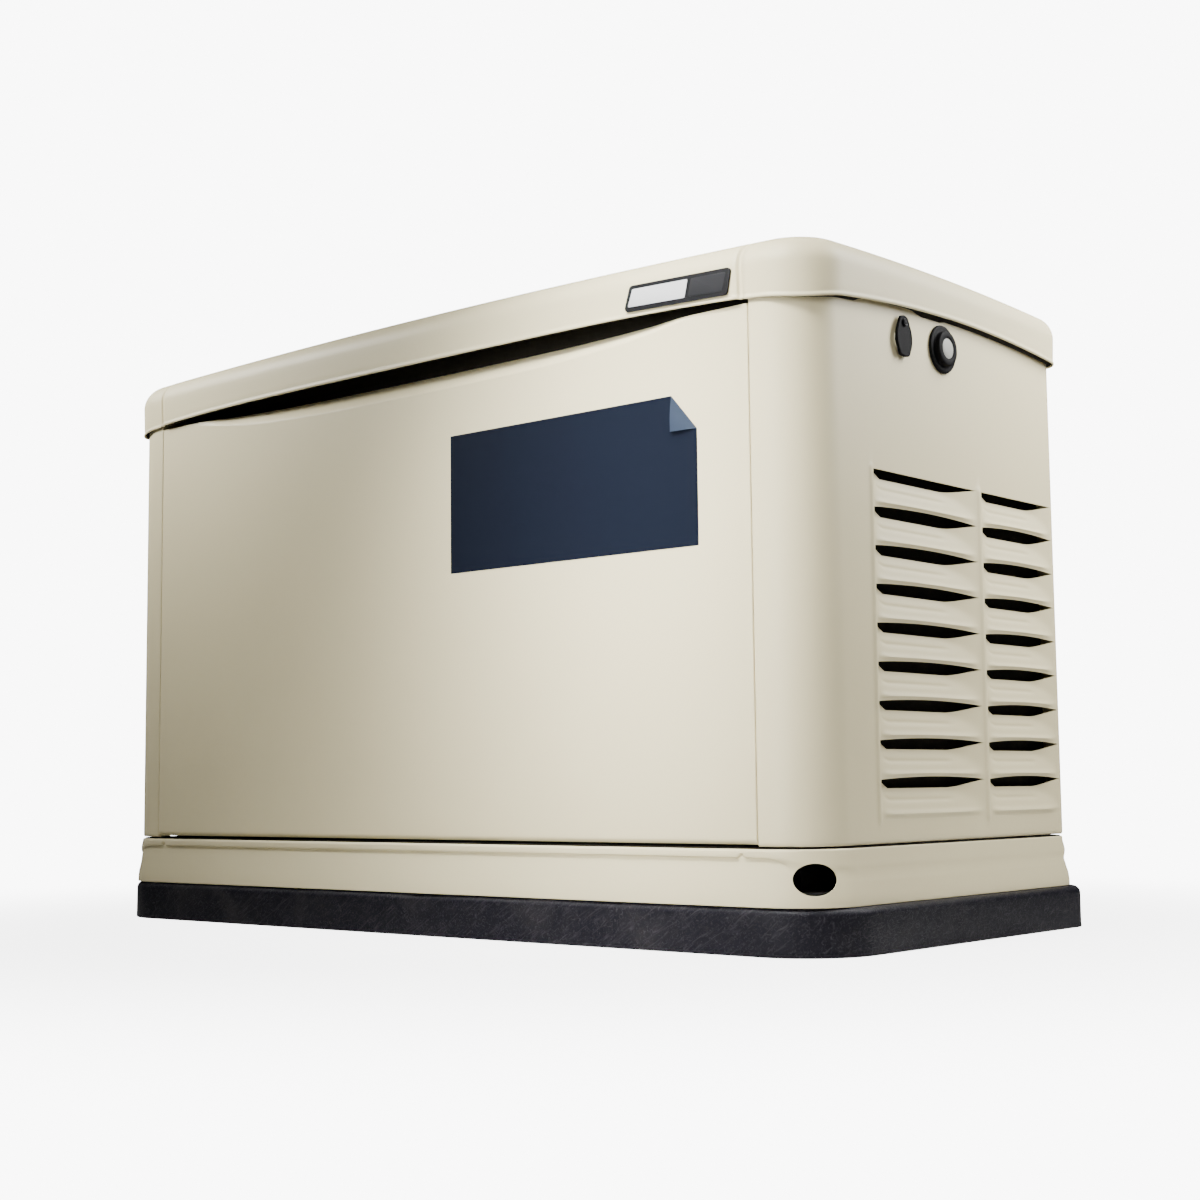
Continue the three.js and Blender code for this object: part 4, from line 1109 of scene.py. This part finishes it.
def lid_edge(x, y):
    """The height of the lid's lower edge: arched along the front, and more along the ends."""
    at_front = 700.3 - 8 * (x / 505) ** 4
    at_rear = 700 - 4 * (x / 560) ** 2
    at_end = 708 - 21 * ((y - 40) / 300) ** 2
    turn = clamp01((abs(x) - LID["half"] + LID["corner"]) / LID["corner"])
    turn = turn * (0.35 + 0.65 * turn)
    return (1 - turn) * (at_front if y < 0 else at_rear) + turn * at_end


def lid_top(x, y):
    """The height of the lid's top, crowned both ways."""
    return LID["crown"] - 9 * (x / 570) ** 2 - 7 * ((y - 40) / 286) ** 2


def step_share(x):
    """How much of the lid's step stands at x: full in the middle, with a bead beside it."""
    x = abs(x)
    bead = 0.42 * math.exp(-((x - 513.5) / 1.5) ** 2)
    return max(1 - smooth((x - 505.5) / 3.5), bead)


class GENERATOR_OT_lid(bpy.types.Operator):
    """Press the crowned lid with its rolled hem, soft shoulder and proud front"""

    bl_idname = "generator.lid"
    bl_label = "Lid"

    def execute(self, context):
        case = context.scene.generator_case
        step, straight = case.lid_step / MM, LID["half"] - LID["corner"]
        hem, shoulder = LID["hem"], LID["shoulder"]
        marks = [505.5, 506.6, 507.6, 508.4, 509, 510.5, 511.5, 512.5, 513.5, 514.5, 515.5,
                 517, 521, 528]
        stations = [x / straight for x in
                    [-m for m in reversed(marks)] + spaced(-500, 500, 61) + marks]
        rings = []
        for inset, up in ((1.5, 0.1), (0.5, 0.35), (0, 1.2), (0, 2.6), (0.7, 4), (1.1, 5.4),
                          (0.9, hem)):
            rings.append(self.ring(
                inset, stations, step, 1, lambda x, y, u=up: lid_edge(x, y) + u))
        for share in (0.25, 0.5, 0.75):
            rings.append(self.ring(
                0.9 * (1 - share), stations, step, 1,
                lambda x, y, s=share: (lid_edge(x, y) + hem) * (1 - s)
                + (lid_top(x, y) - shoulder) * s))
        for turn in spaced(0, math.pi / 2, 17):
            inset, below = shoulder * (1 - math.cos(turn)), shoulder * (1 - math.sin(turn))
            rings.append(self.ring(
                inset, stations, step, 1 - smooth(inset / 26),
                lambda x, y, b=below: lid_top(x, y) - b))
        for inset in (45, 70, 105, 150, 200, 250, 271):
            rings.append(self.ring(inset, stations, step, 0, lid_top))
        piece = self.closed(rings)
        settle(piece, "SOLIDIFY", thickness=case.sheet, offset=-1)
        place(piece, "lid", "beige_powder_coat", ["lid"], angle=45)
        # painted shade: a black strip under the lid's hem
        self.shade_strip(stations, step)
        return {"FINISHED"}

    def shade_strip(self, stations, step):
        """A black strip inside the hem, just clear of the panels and the locks' covers: painted
        shade under the lid's hem.
        """
        def over(x, y):
            at_lock = smooth((y + 190) / 25) * smooth((-45 - y) / 25)
            return lid_edge(x, y) + (5 * at_lock if abs(x) > 580 else 0)

        def near_body(up):
            clear = 0.6
            plan = outline(BODY["half"] + clear, BODY["front"] - clear, BODY["rear"] + clear,
                           BODY["corner"] + clear, BODY["rear_corner"] + clear, arc=24,
                           along=stations, across=22)
            return [(x, y, over(x, y) + up) for x, y in plan]

        low, high = (self.ring(3.1, stations, step, 1, lambda x, y, u=up: over(x, y) + u)
                     for up in (1.8, 6.4))
        rings = [low, high, near_body(6), near_body(0.8), low]
        piece = lofted("lid_seal", rings, foot=False, head=False)
        settle(piece, "WELD", merge_threshold=1e-5)
        place(piece, "lid", "acoustic_foam")

    @staticmethod
    def ring(inset, stations, step, proud, height):
        """The lid's outline moved in by inset, with its front's step, at a height by place."""
        plan = outline(
            LID["half"] - inset, LID["front"] + inset, LID["rear"] - inset,
            max(LID["corner"] - inset, 2), max(LID["rear_corner"] - inset, 2), arc=24,
            along=stations, across=22)
        points = []
        for x, y in plan:
            out = step * proud * step_share(x) if y < LID["front"] + inset + 1 else 0
            points.append((x, y - out, height(x, y)))
        return points

    @staticmethod
    def closed(rings):
        """The skin over the rings, its last one closed by a strip of quads."""
        count = len(rings[0])
        points = [p for ring in rings for p in ring]
        faces = strip_faces(len(rings), count, wrap=True)
        last = len(points) - count
        faces.append((last, last + 1, last + count - 1))
        for i in range(1, count // 2 - 1):
            faces.append((last + i, last + i + 1, last + count - i - 1, last + count - i))
        middle = last + count // 2
        faces.append((middle - 1, middle, middle + 1))
        return build_mesh("lid_pressing", points, faces)


def rounded_plate(name, corners, near, far, radius, soft=0.3, steps=6):
    """A plate in the XZ plane with rounded corners, from near out to far along -Y."""
    points = []
    count = len(corners)
    for i, corner in enumerate(corners):
        here = Vector(corner)
        back = (Vector(corners[i - 1]) - here).normalized()
        ahead = (Vector(corners[(i + 1) % count]) - here).normalized()
        half = back.angle(ahead) / 2
        centre = here + (back + ahead).normalized() * radius / math.sin(half)
        start = here + back * radius / math.tan(half) - centre
        end = here + ahead * radius / math.tan(half) - centre
        sweep = start.angle_signed(end)
        for k in range(steps + 1):
            a = -sweep * k / steps
            points.append(centre + Vector((
                start.x * math.cos(a) - start.y * math.sin(a),
                start.x * math.sin(a) + start.y * math.cos(a))))
    middle = sum(points, Vector((0, 0))) / len(points)

    def ring(y, inset):
        moved = [p - (p - middle).normalized() * inset for p in points]
        return [(p.x, y, p.y) for p in moved]

    return lofted(name, [ring(near, 0), ring(far + soft, 0), ring(far + soft * 0.3, soft * 0.3),
                         ring(far, soft)])


class GENERATOR_OT_badge(bpy.types.Operator):
    """Fit the blank two-tone badge in its black frame on the lid"""

    bl_idname = "generator.badge"
    bl_label = "Lid Badge"

    def execute(self, context):
        face = LID["front"] - context.scene.generator_case.lid_step / MM
        plate = [(351.6, 704.2), (495.6, 698.8), (501.6, 728.2), (360.8, 733.2)]
        light = [(357.8, 709), (438.4, 705.8), (443.2, 725.8), (365, 728.6)]
        dark = [(443, 705.6), (490.2, 703.8), (495, 724), (447.8, 725.6)]
        frame_piece = rounded_plate("badge_frame", plate, face - 0.25, face - 2.2, 4.5, 0.5)
        place(turn_out(frame_piece), "lid", "black_plastic", ["lid_badge"])
        for name, corners, radius, finish, slot in (
                ("badge_light_field", light, 1.6, "badge_silver", "badge_plate"),
                ("badge_dark_field", dark, 2.2, "badge_graphite", "black_plastic")):
            field = rounded_plate(name, corners, face - 2, face - 2.5, radius, 0.15)
            place(turn_out(field), "lid", finish)
        return {"FINISHED"}


# ---- locks and lamp -------------------------------------------------------------------------

COVER_RISE = 19  # the cover's pivot over the middle of the lock
COVER_HALF = [(0, 8.4), (6, 7.2), (8.5, 4), (10.5, 0), (14.8, -8), (16.4, -17), (15.4, -26),
              (11.4, -33), (9, -38.5)]
COVER = COVER_HALF + [(-x, z) for x, z in COVER_HALF[:0:-1]]


def smooth_outline(points, rounds=2):
    """The outline with its corners cut off, round after round."""
    for _ in range(rounds):
        cut = []
        for i, (x, y) in enumerate(points):
            nx, ny = points[(i + 1) % len(points)]
            cut += [(0.75 * x + 0.25 * nx, 0.75 * y + 0.25 * ny),
                    (0.25 * x + 0.75 * nx, 0.25 * y + 0.75 * ny)]
        points = cut
    return points


class GENERATOR_OT_locks(bpy.types.Operator):
    """Fit the case locks with their swinging covers"""

    bl_idname = "generator.locks"
    bl_label = "Case Locks"

    def execute(self, context):
        for side, sign in (("left", -1), ("right", 1)):
            self.cover(side, sign)
            self.housing(side, sign)
            plug = cad_copy(f"lock_plug_{side}", f"lock_cam_{side}", 0.4)
            place(plug, f"lock_plug_{side}", "chrome", [f"lock_plug_{side}"])
        return {"FINISHED"}

    @staticmethod
    def cover(side, sign):
        """The oval cover, with a raised rim and a pivot ring."""
        x, y, z = sign * LOCK_AT[0], LOCK_AT[1], LOCK_AT[2] + COVER_RISE
        middle = Vector((0, -16))
        rings = []
        for out, inset in ((3, 0.8), (3.4, 0), (5.6, 0), (6.4, 0.8), (6.6, 1.7), (6.1, 2.4)):
            ring = []
            for across, up in smooth_outline(COVER):
                way = (Vector((across, up)) - middle).normalized()
                ring.append((x + sign * out, y + sign * (across - way.x * inset),
                             z + up - way.y * inset))
            rings.append(ring)
        piece = lofted(f"key_cover_{side}", rings)
        place(piece, f"lock_cover_{side}", "rubber", [f"lock_cover_{side}"])
        ring_piece = turned(f"key_cover_ring_{side}", [
            (2.2, 0), (3.4, 0), (4.4, 0.7), (4.6, 1.4), (3.8, 2), (2.8, 1.7), (2.2, 0.8)],
            (x + sign * 6.4, y, z), 32, sign)
        place(ring_piece, f"lock_cover_{side}", "black_plastic")

    @staticmethod
    def housing(side, sign):
        """The chrome-rimmed barrel in the panel, and the pin that its cover swings on."""
        x, y, z = sign * LOCK_AT[0], LOCK_AT[1], LOCK_AT[2]
        rim = turned(f"lock_rim_{side}", [
            (6.8, -18), (10.8, -18), (11, -17.5), (11, 0.3), (13.6, 0.3), (14.2, 0.8),
            (14, 1.6), (12.6, 2.4), (9, 2.5), (6.8, 2.2)], (x, y, z), 64, sign)
        place(rim, "chassis", "chrome", [f"lock_barrel_{side}"])
        post = turned(f"cover_pivot_{side}", [
            (2, 0.2), (2, 6.4), (2.4, 6.6), (2.4, 7.4), (1.6, 8.2), (0.4, 8.4)],
            (x, y, z + COVER_RISE), 24, sign)
        place(post, "chassis", "black_plastic")


class GENERATOR_OT_status_lamp(bpy.types.Operator):
    """Fit the status lamp: a stepped rubber bezel round a frosted lens"""

    bl_idname = "generator.status_lamp"
    bl_label = "Status Lamp"

    def execute(self, context):
        bezel = turned("lamp_bezel", [
            (13, -8), (19.8, -8), (20, -7.5), (20, 0.3), (27.4, 0.3), (28, 0.9), (28, 2.4),
            (27.5, 3.4), (26.4, 4), (24.4, 4.2), (21.6, 3.9), (20.9, 4.2), (20.5, 5),
            (20.4, 8.2), (19.9, 9.4), (18.9, 10), (14.6, 10.1), (13.6, 9.9), (13, 9.2)],
            LAMP_AT, 96)
        place(bezel, "chassis", "rubber", ["status_lamp_bezel"])
        lens = turned("lamp_lens", [
            (12.2, -6), (12.7, -5.6), (12.7, 8.2), (12.3, 8.9), (11, 9.5), (8, 10.1), (4, 10.5),
            (0.4, 10.6)], LAMP_AT)
        place(lens, "chassis", "lamp_glass", ["status_lamp_lens"])
        return {"FINISHED"}


# ---- screws ---------------------------------------------------------------------------------


def screw_shape():
    """A pan-head screw with a cross recess, standing up from the origin along Z."""
    def ring(z, radius, arm=None):
        """Points round the axis. arm is how far the recess reaches four ways."""
        reaches = [radius if arm is None or i % 4 else arm for i in range(16)]
        return [(reach * math.cos(a), reach * math.sin(a), z)
                for reach, a in zip(reaches, circle_angles(16))]

    head = [ring(z, radius) for radius, z in (
        (5.2, 0), (5.2, 0.8), (4.8, 1.9), (3.6, 2.8), (2.4, 3.1))]
    return lofted("screw", [*head, ring(2.9, 0.9, 2.1), ring(1.4, 0.5, 1.3)])


def screw_tree():
    """Geometry nodes that stand a screw on each point, square to the sheet it holds."""
    tree, start, end = new_group("screw_rows", "GeometryNodeTree")
    for name, kind, default in (
            ("Geometry", "Geometry", None), ("Screw", "Object", None), ("Size", "Float", 1.0),
            ("Metal", "Material", None)):
        socket(tree, name, "INPUT", f"NodeSocket{kind}", default)
    socket(tree, "Geometry", "OUTPUT", "NodeSocketGeometry")
    screw = add_node(tree, "GeometryNodeObjectInfo", {"Object": start.outputs["Screw"]})
    way = add_node(tree, "GeometryNodeInputNamedAttribute", {"Name": "way"},
                   data_type="FLOAT_VECTOR")
    turn = add_node(tree, "FunctionNodeAlignRotationToVector", {
        "Vector": way.outputs["Attribute"]}, axis="Z")
    stood = add_node(tree, "GeometryNodeInstanceOnPoints", {
        "Points": start.outputs["Geometry"], "Instance": screw.outputs["Geometry"],
        "Rotation": turn.outputs["Rotation"], "Scale": start.outputs["Size"]})
    real = add_node(tree, "GeometryNodeRealizeInstances", {"Geometry": stood.outputs[0]})
    plated = add_node(tree, "GeometryNodeSetMaterial", {
        "Geometry": real.outputs[0], "Material": start.outputs["Metal"]})
    tree.links.new(plated.outputs[0], end.inputs[0])
    return tree


class GENERATOR_OT_screws(bpy.types.Operator):
    """Drive the rows of screws that hold the rear panel and the hinges"""

    bl_idname = "generator.screws"
    bl_label = "Screws"

    def execute(self, context):
        rear = BODY["rear"] + 0.15
        spots = [(side * 545, rear, z) for side in (-1, 1) for z in (135, 270, 405, 540, 675)]
        spots += [(x, rear, 126) for x in spaced(-450, 450, 5) if abs(x - 60) > 40]
        hinge_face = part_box("hinge_fixed_leaf_right")[0].y / MM + 2.6
        spots += [(side * 380 + x, hinge_face, 660) for side in (-1, 1) for x in (-22, 22)]
        row = build_mesh("case_screws", spots, [])
        ways = row.data.attributes.new("way", "FLOAT_VECTOR", "POINT")
        ways.data.foreach_set("vector", (0, 1, 0) * len(spots))
        screw = screw_shape()
        grow(row, screw_tree(), {"Screw": screw, "Size": 0.8,
                                 "Metal": bpy.data.materials["zinc_plate_finish"]})
        bpy.data.objects.remove(screw)
        place(row, "chassis", None)
        return {"FINISHED"}


# ---- pieces that keep their CAD shape, with rounded edges ------------------------------------

HINGE_PIECES = {
    f"hinge_{part}_{side}": finish
    for part, finish in (
        ("fixed_leaf", ("chassis", "zinc_plate", 0.4)),
        ("moving_leaf", ("lid", "zinc_plate", 0.4)),
        ("pin", ("chassis", "bare_steel", 0.3)))
    for side in ("left", "right")
}
ENGINE_PIECES = {
    "engine_crankcase": ("chassis", "cast_aluminium", 2.0),
    "cylinder_front": ("chassis", "cast_aluminium", 0.8),
    "cylinder_rear": ("chassis", "cast_aluminium", 0.8),
    "valve_cover_front": ("chassis", "black_paint", 2.0),
    "valve_cover_rear": ("chassis", "black_paint", 2.0),
    "blower_housing": ("chassis", "black_paint", 1.2),
    "flywheel_fan": ("rotating_group", "cast_aluminium", 0.8),
    "crankshaft": ("rotating_group", "bare_steel", 0.6),
    "starter_motor": ("chassis", "black_paint", 1.2),
    "oil_filter": ("chassis", "black_paint", 1.5),
    "oil_dipstick": ("dipstick", "yellow_plastic", 0.6),
    "fuel_mixer": ("chassis", "cast_aluminium", 1.0),
    "airbox": ("chassis", "black_plastic", 1.5),
    "airbox_cover": ("chassis", "black_plastic", 1.5),
    "fuel_regulator": ("chassis", "cast_aluminium", 1.0),
    "fuel_hose": ("chassis", "rubber", 0),
    "alternator_stator": ("chassis", "black_paint", 1.0),
    "alternator_rotor": ("rotating_group", "bare_steel", 0.8),
    "alternator_end_bracket": ("chassis", "cast_aluminium", 1.0),
    "muffler": ("chassis", "exhaust_steel", 1.5),
    "exhaust_pipes": ("chassis", "exhaust_steel", 0.6),
    "exhaust_shroud": ("chassis", "galvanised", 0.5),
    "battery": ("chassis", "black_plastic", 1.5),
    "battery_tray": ("chassis", "black_plastic", 1.0),
    # painted shade: the floor pan is black so the base's lifting holes look dark inside
    "base_floor_pan": ("chassis", "black_paint", 0.5),
    **{f"vibration_mount_{side}_{end}": ("chassis", "rubber", 0.8)
       for side in ("left", "right") for end in ("front", "rear")},
    "air_filter": ("chassis", "filter_paper", 0.4),
}
CONTROL_PIECES = {
    "control_box": ("chassis", "grey_plastic", 1.5),
    "auto_button": ("auto_button", "green_plastic", 1.2),
    "off_button": ("off_button", "red_plastic", 1.2),
    "manual_button": ("manual_button", "blue_plastic", 1.2),
    "menu_key": ("menu_key", "black_plastic", 1.2),
    "display_window": ("chassis", "display", 0.6),
    "main_breaker": ("chassis", "black_plastic", 0.8),
    "breaker_toggle": ("breaker_toggle", "black_plastic", 0.8),
}
SLOT_MATERIALS = {
    "enclosure_paint": "beige_powder_coat", "exhaust_steel": "heat_tinted_steel",
    "galvanised": "galvanised_sheet", "display": "display_glass",
}


def round_off(pieces):
    """Copies CAD pieces with rounded edges. Each row is a body, a slot and an edge width."""
    for node, (body, slot, width) in pieces.items():
        piece = cad_copy(node, f"{node}_finished", width)
        place(piece, body, SLOT_MATERIALS.get(slot, slot), [node])


class GENERATOR_OT_hinges(bpy.types.Operator):
    """Round the leaves and pins of the lid hinges"""

    bl_idname = "generator.hinges"
    bl_label = "Lid Hinges"

    def execute(self, context):
        round_off(HINGE_PIECES)
        return {"FINISHED"}


class GENERATOR_OT_engine_bay(bpy.types.Operator):
    """Round the castings, housings, exhaust and battery of the engine bay"""

    bl_idname = "generator.engine_bay"
    bl_label = "Engine Bay"

    def execute(self, context):
        round_off(ENGINE_PIECES)
        return {"FINISHED"}


class GENERATOR_OT_controls(bpy.types.Operator):
    """Round the control box, its keys, the display and the main breaker"""

    bl_idname = "generator.controls"
    bl_label = "Controls"

    def execute(self, context):
        round_off(CONTROL_PIECES)
        return {"FINISHED"}


# ---- stage ----------------------------------------------------------------------------------

CAMERA = {
    "azimuth": 0.71114, "pitch": 0.09921, "roll": -0.010608,
    "place": (1.66164, -1.85243, 0.17776),
}


class GENERATOR_OT_stage(bpy.types.Operator):
    """Lay the pale floor and set the softboxes and the camera"""

    bl_idname = "generator.stage"
    bl_label = "Stage"

    def execute(self, context):
        stage = context.scene.generator_stage
        self.floor(stage)
        self.world(context, stage)
        top, key, fill = stage.top_power, stage.key_power, stage.fill_power
        for name, place_at, aim, size, spread, power in (
                ("top_softbox", (0.2, -1.3, 3.0), (0, -0.2, 0.4), (1.8, 1.8), 180, top),
                ("key_softbox", (0.46, -0.74, 1.22), (0.38, -0.28, 0.3), (0.2, 0.2), 66, key),
                ("front_softbox", (0.44, -0.9, 0.45), (0.34, -0.28, 0.4), (0.2, 0.7), 70,
                 key * 0.42),
                ("corner_softbox", (1.5, -1.3, 1.5), (0.57, -0.25, 0.72), (0.5, 0.5), 50,
                 key * 0.22),
                ("left_softbox", (-0.9, -0.75, 1.2), (-0.5, -0.28, 0.75), (0.3, 0.3), 80,
                 key * 0.74),
                ("end_softbox", (0.98, 0.42, 1.3), (0.6, 0.16, 0.45), (0.3, 0.3), 130, fill),
                ("rear_softbox", (-1.4, 2.6, 1.9), (0, 0.2, 0.4), (1.4, 1.4), 180, top),
                ("louvre_softbox", (1.15, 0.55, 1.0), (0.6, 0.2, 0.58), (0.4, 0.5), 120, fill)):
            self.softbox(name, place_at, aim, size, spread, power)
        self.camera(context, stage)
        return {"FINISHED"}

    @staticmethod
    def floor(stage):
        """A pale disc just under the pad, which brightens to the backdrop away from it."""
        radius, below, steps = 30000, 0.3, 64
        points = [(radius * math.cos(a), radius * math.sin(a), -below)
                  for a in circle_angles(steps)]
        piece = build_mesh("studio_floor", points, [tuple(range(steps))])
        material = finish_material("studio_floor", stage.floor, 0.75, grain=300, dust=0,
                                   grain_depth=0.02, drift=0.01, specular=0.15)
        tree = material.node_tree
        glow = add_node(tree, "ShaderNodeEmission", {"Strength": stage.backdrop})
        far = add_node(tree, "ShaderNodeVectorMath", {
            0: add_node(tree, "ShaderNodeTexCoord").outputs["Object"]}, operation="LENGTH")
        share = add_node(tree, "ShaderNodeMapRange", {
            "Value": far.outputs["Value"], "From Min": 0.55, "From Max": 1.5,
            "To Min": 0.55}, interpolation_type="SMOOTHSTEP")
        looked_at = add_node(tree, "ShaderNodeLightPath").outputs["Is Camera Ray"]
        faded = add_node(tree, "ShaderNodeMixShader", {
            0: maths(tree, "MULTIPLY", share.outputs[0], looked_at),
            1: tree.nodes["Principled BSDF"].outputs[0], 2: glow.outputs[0]})
        tree.links.new(faded.outputs[0], tree.nodes["Material Output"].inputs["Surface"])
        piece.data.materials.append(material)

    @staticmethod
    def world(context, stage):
        """Even air light, with a bright backdrop that only the camera sees."""
        world = bpy.data.worlds.new("studio_air")
        world.use_nodes = True
        tree = world.node_tree
        air = tree.nodes["Background"]
        air.inputs["Color"].default_value = (1, 1, 1, 1)
        looked_at = add_node(tree, "ShaderNodeLightPath").outputs["Is Camera Ray"]
        strength = remap(tree, looked_at, 0, 1, stage.air, stage.backdrop)
        tree.links.new(strength, air.inputs["Strength"])
        context.scene.world = world

    @staticmethod
    def softbox(name, place_at, aim, size, spread, power):
        """An area light turned to its aim. The spread is in degrees."""
        data = bpy.data.lights.new(name, "AREA")
        data.shape, data.energy = "RECTANGLE", power
        data.size, data.size_y = size
        data.spread = math.radians(spread)
        light = bpy.data.objects.new(name, data)
        light.location = place_at
        way = Vector(aim) - Vector(place_at)
        light.rotation_mode = "QUATERNION"
        light.rotation_quaternion = way.to_track_quat("-Z", "Y")
        bpy.context.scene.collection.objects.link(light)

    @staticmethod
    def camera(context, stage):
        """The camera, turned by its azimuth, pitch and roll."""
        turn, rise, roll = CAMERA["azimuth"], -CAMERA["pitch"], CAMERA["roll"]
        back = Vector((math.sin(turn) * math.cos(rise), -math.cos(turn) * math.cos(rise),
                       math.sin(rise)))
        right = (-back).cross(Vector((0, 0, 1))).normalized()
        up = right.cross(-back)
        tilted_right = right * math.cos(roll) + up * math.sin(roll)
        tilted_up = up * math.cos(roll) - right * math.sin(roll)
        data = bpy.data.cameras.new("studio_camera")
        data.lens, data.sensor_width = stage.lens, 36
        data.clip_start, data.clip_end = 0.05, 100
        camera = bpy.data.objects.new("studio_camera", data)
        axes = Matrix((tilted_right, tilted_up, back)).transposed()
        camera.matrix_world = Matrix.Translation(CAMERA["place"]) @ axes.to_4x4()
        context.scene.collection.objects.link(camera)
        context.scene.camera = camera


# ---- panel, registration and the run ---------------------------------------------------------

OPERATORS = (
    GENERATOR_OT_finishes, GENERATOR_OT_stage, GENERATOR_OT_pad, GENERATOR_OT_base,
    GENERATOR_OT_end_panels, GENERATOR_OT_rear_panel, GENERATOR_OT_foam, GENERATOR_OT_door,
    GENERATOR_OT_label, GENERATOR_OT_lid, GENERATOR_OT_badge, GENERATOR_OT_hinges,
    GENERATOR_OT_locks, GENERATOR_OT_status_lamp, GENERATOR_OT_screws,
    GENERATOR_OT_engine_bay, GENERATOR_OT_controls)


class GENERATOR_PT_sidebar(bpy.types.Panel):
    """Lists the generator's settings and pieces"""

    bl_idname = "GENERATOR_PT_sidebar"
    bl_label = "Home Standby Generator"
    bl_space_type = "VIEW_3D"
    bl_region_type = "UI"
    bl_category = "Generator"

    def draw(self, context):
        column = self.layout.column()
        for group in SETTINGS:
            settings = getattr(context.scene, group)
            for name in settings.bl_rna.properties.keys():
                if name not in ("rna_type", "name"):
                    column.prop(settings, name)
        for operator in OPERATORS:
            column.operator(operator.bl_idname)


SETTINGS = {
    "generator_case": GeneratorCaseSettings, "generator_louvres": GeneratorLouvreSettings,
    "generator_pad": GeneratorPadSettings, "generator_stage": GeneratorStageSettings,
}


def register():
    for name, group in SETTINGS.items():
        bpy.utils.register_class(group)
        setattr(bpy.types.Scene, name, PointerProperty(type=group))
    for operator in OPERATORS:
        bpy.utils.register_class(operator)
    bpy.utils.register_class(GENERATOR_PT_sidebar)


def unregister():
    bpy.utils.unregister_class(GENERATOR_PT_sidebar)
    for operator in reversed(OPERATORS):
        bpy.utils.unregister_class(operator)
    for name, group in SETTINGS.items():
        delattr(bpy.types.Scene, name)
        bpy.utils.unregister_class(group)


def main():
    """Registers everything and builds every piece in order."""
    register()
    for operator in OPERATORS:
        name = operator.bl_idname.split(".")[1]
        if getattr(bpy.ops.generator, name)() != {"FINISHED"}:
            raise RuntimeError(f"{operator.bl_label} did not finish")


if __name__ == "__main__":
    main()
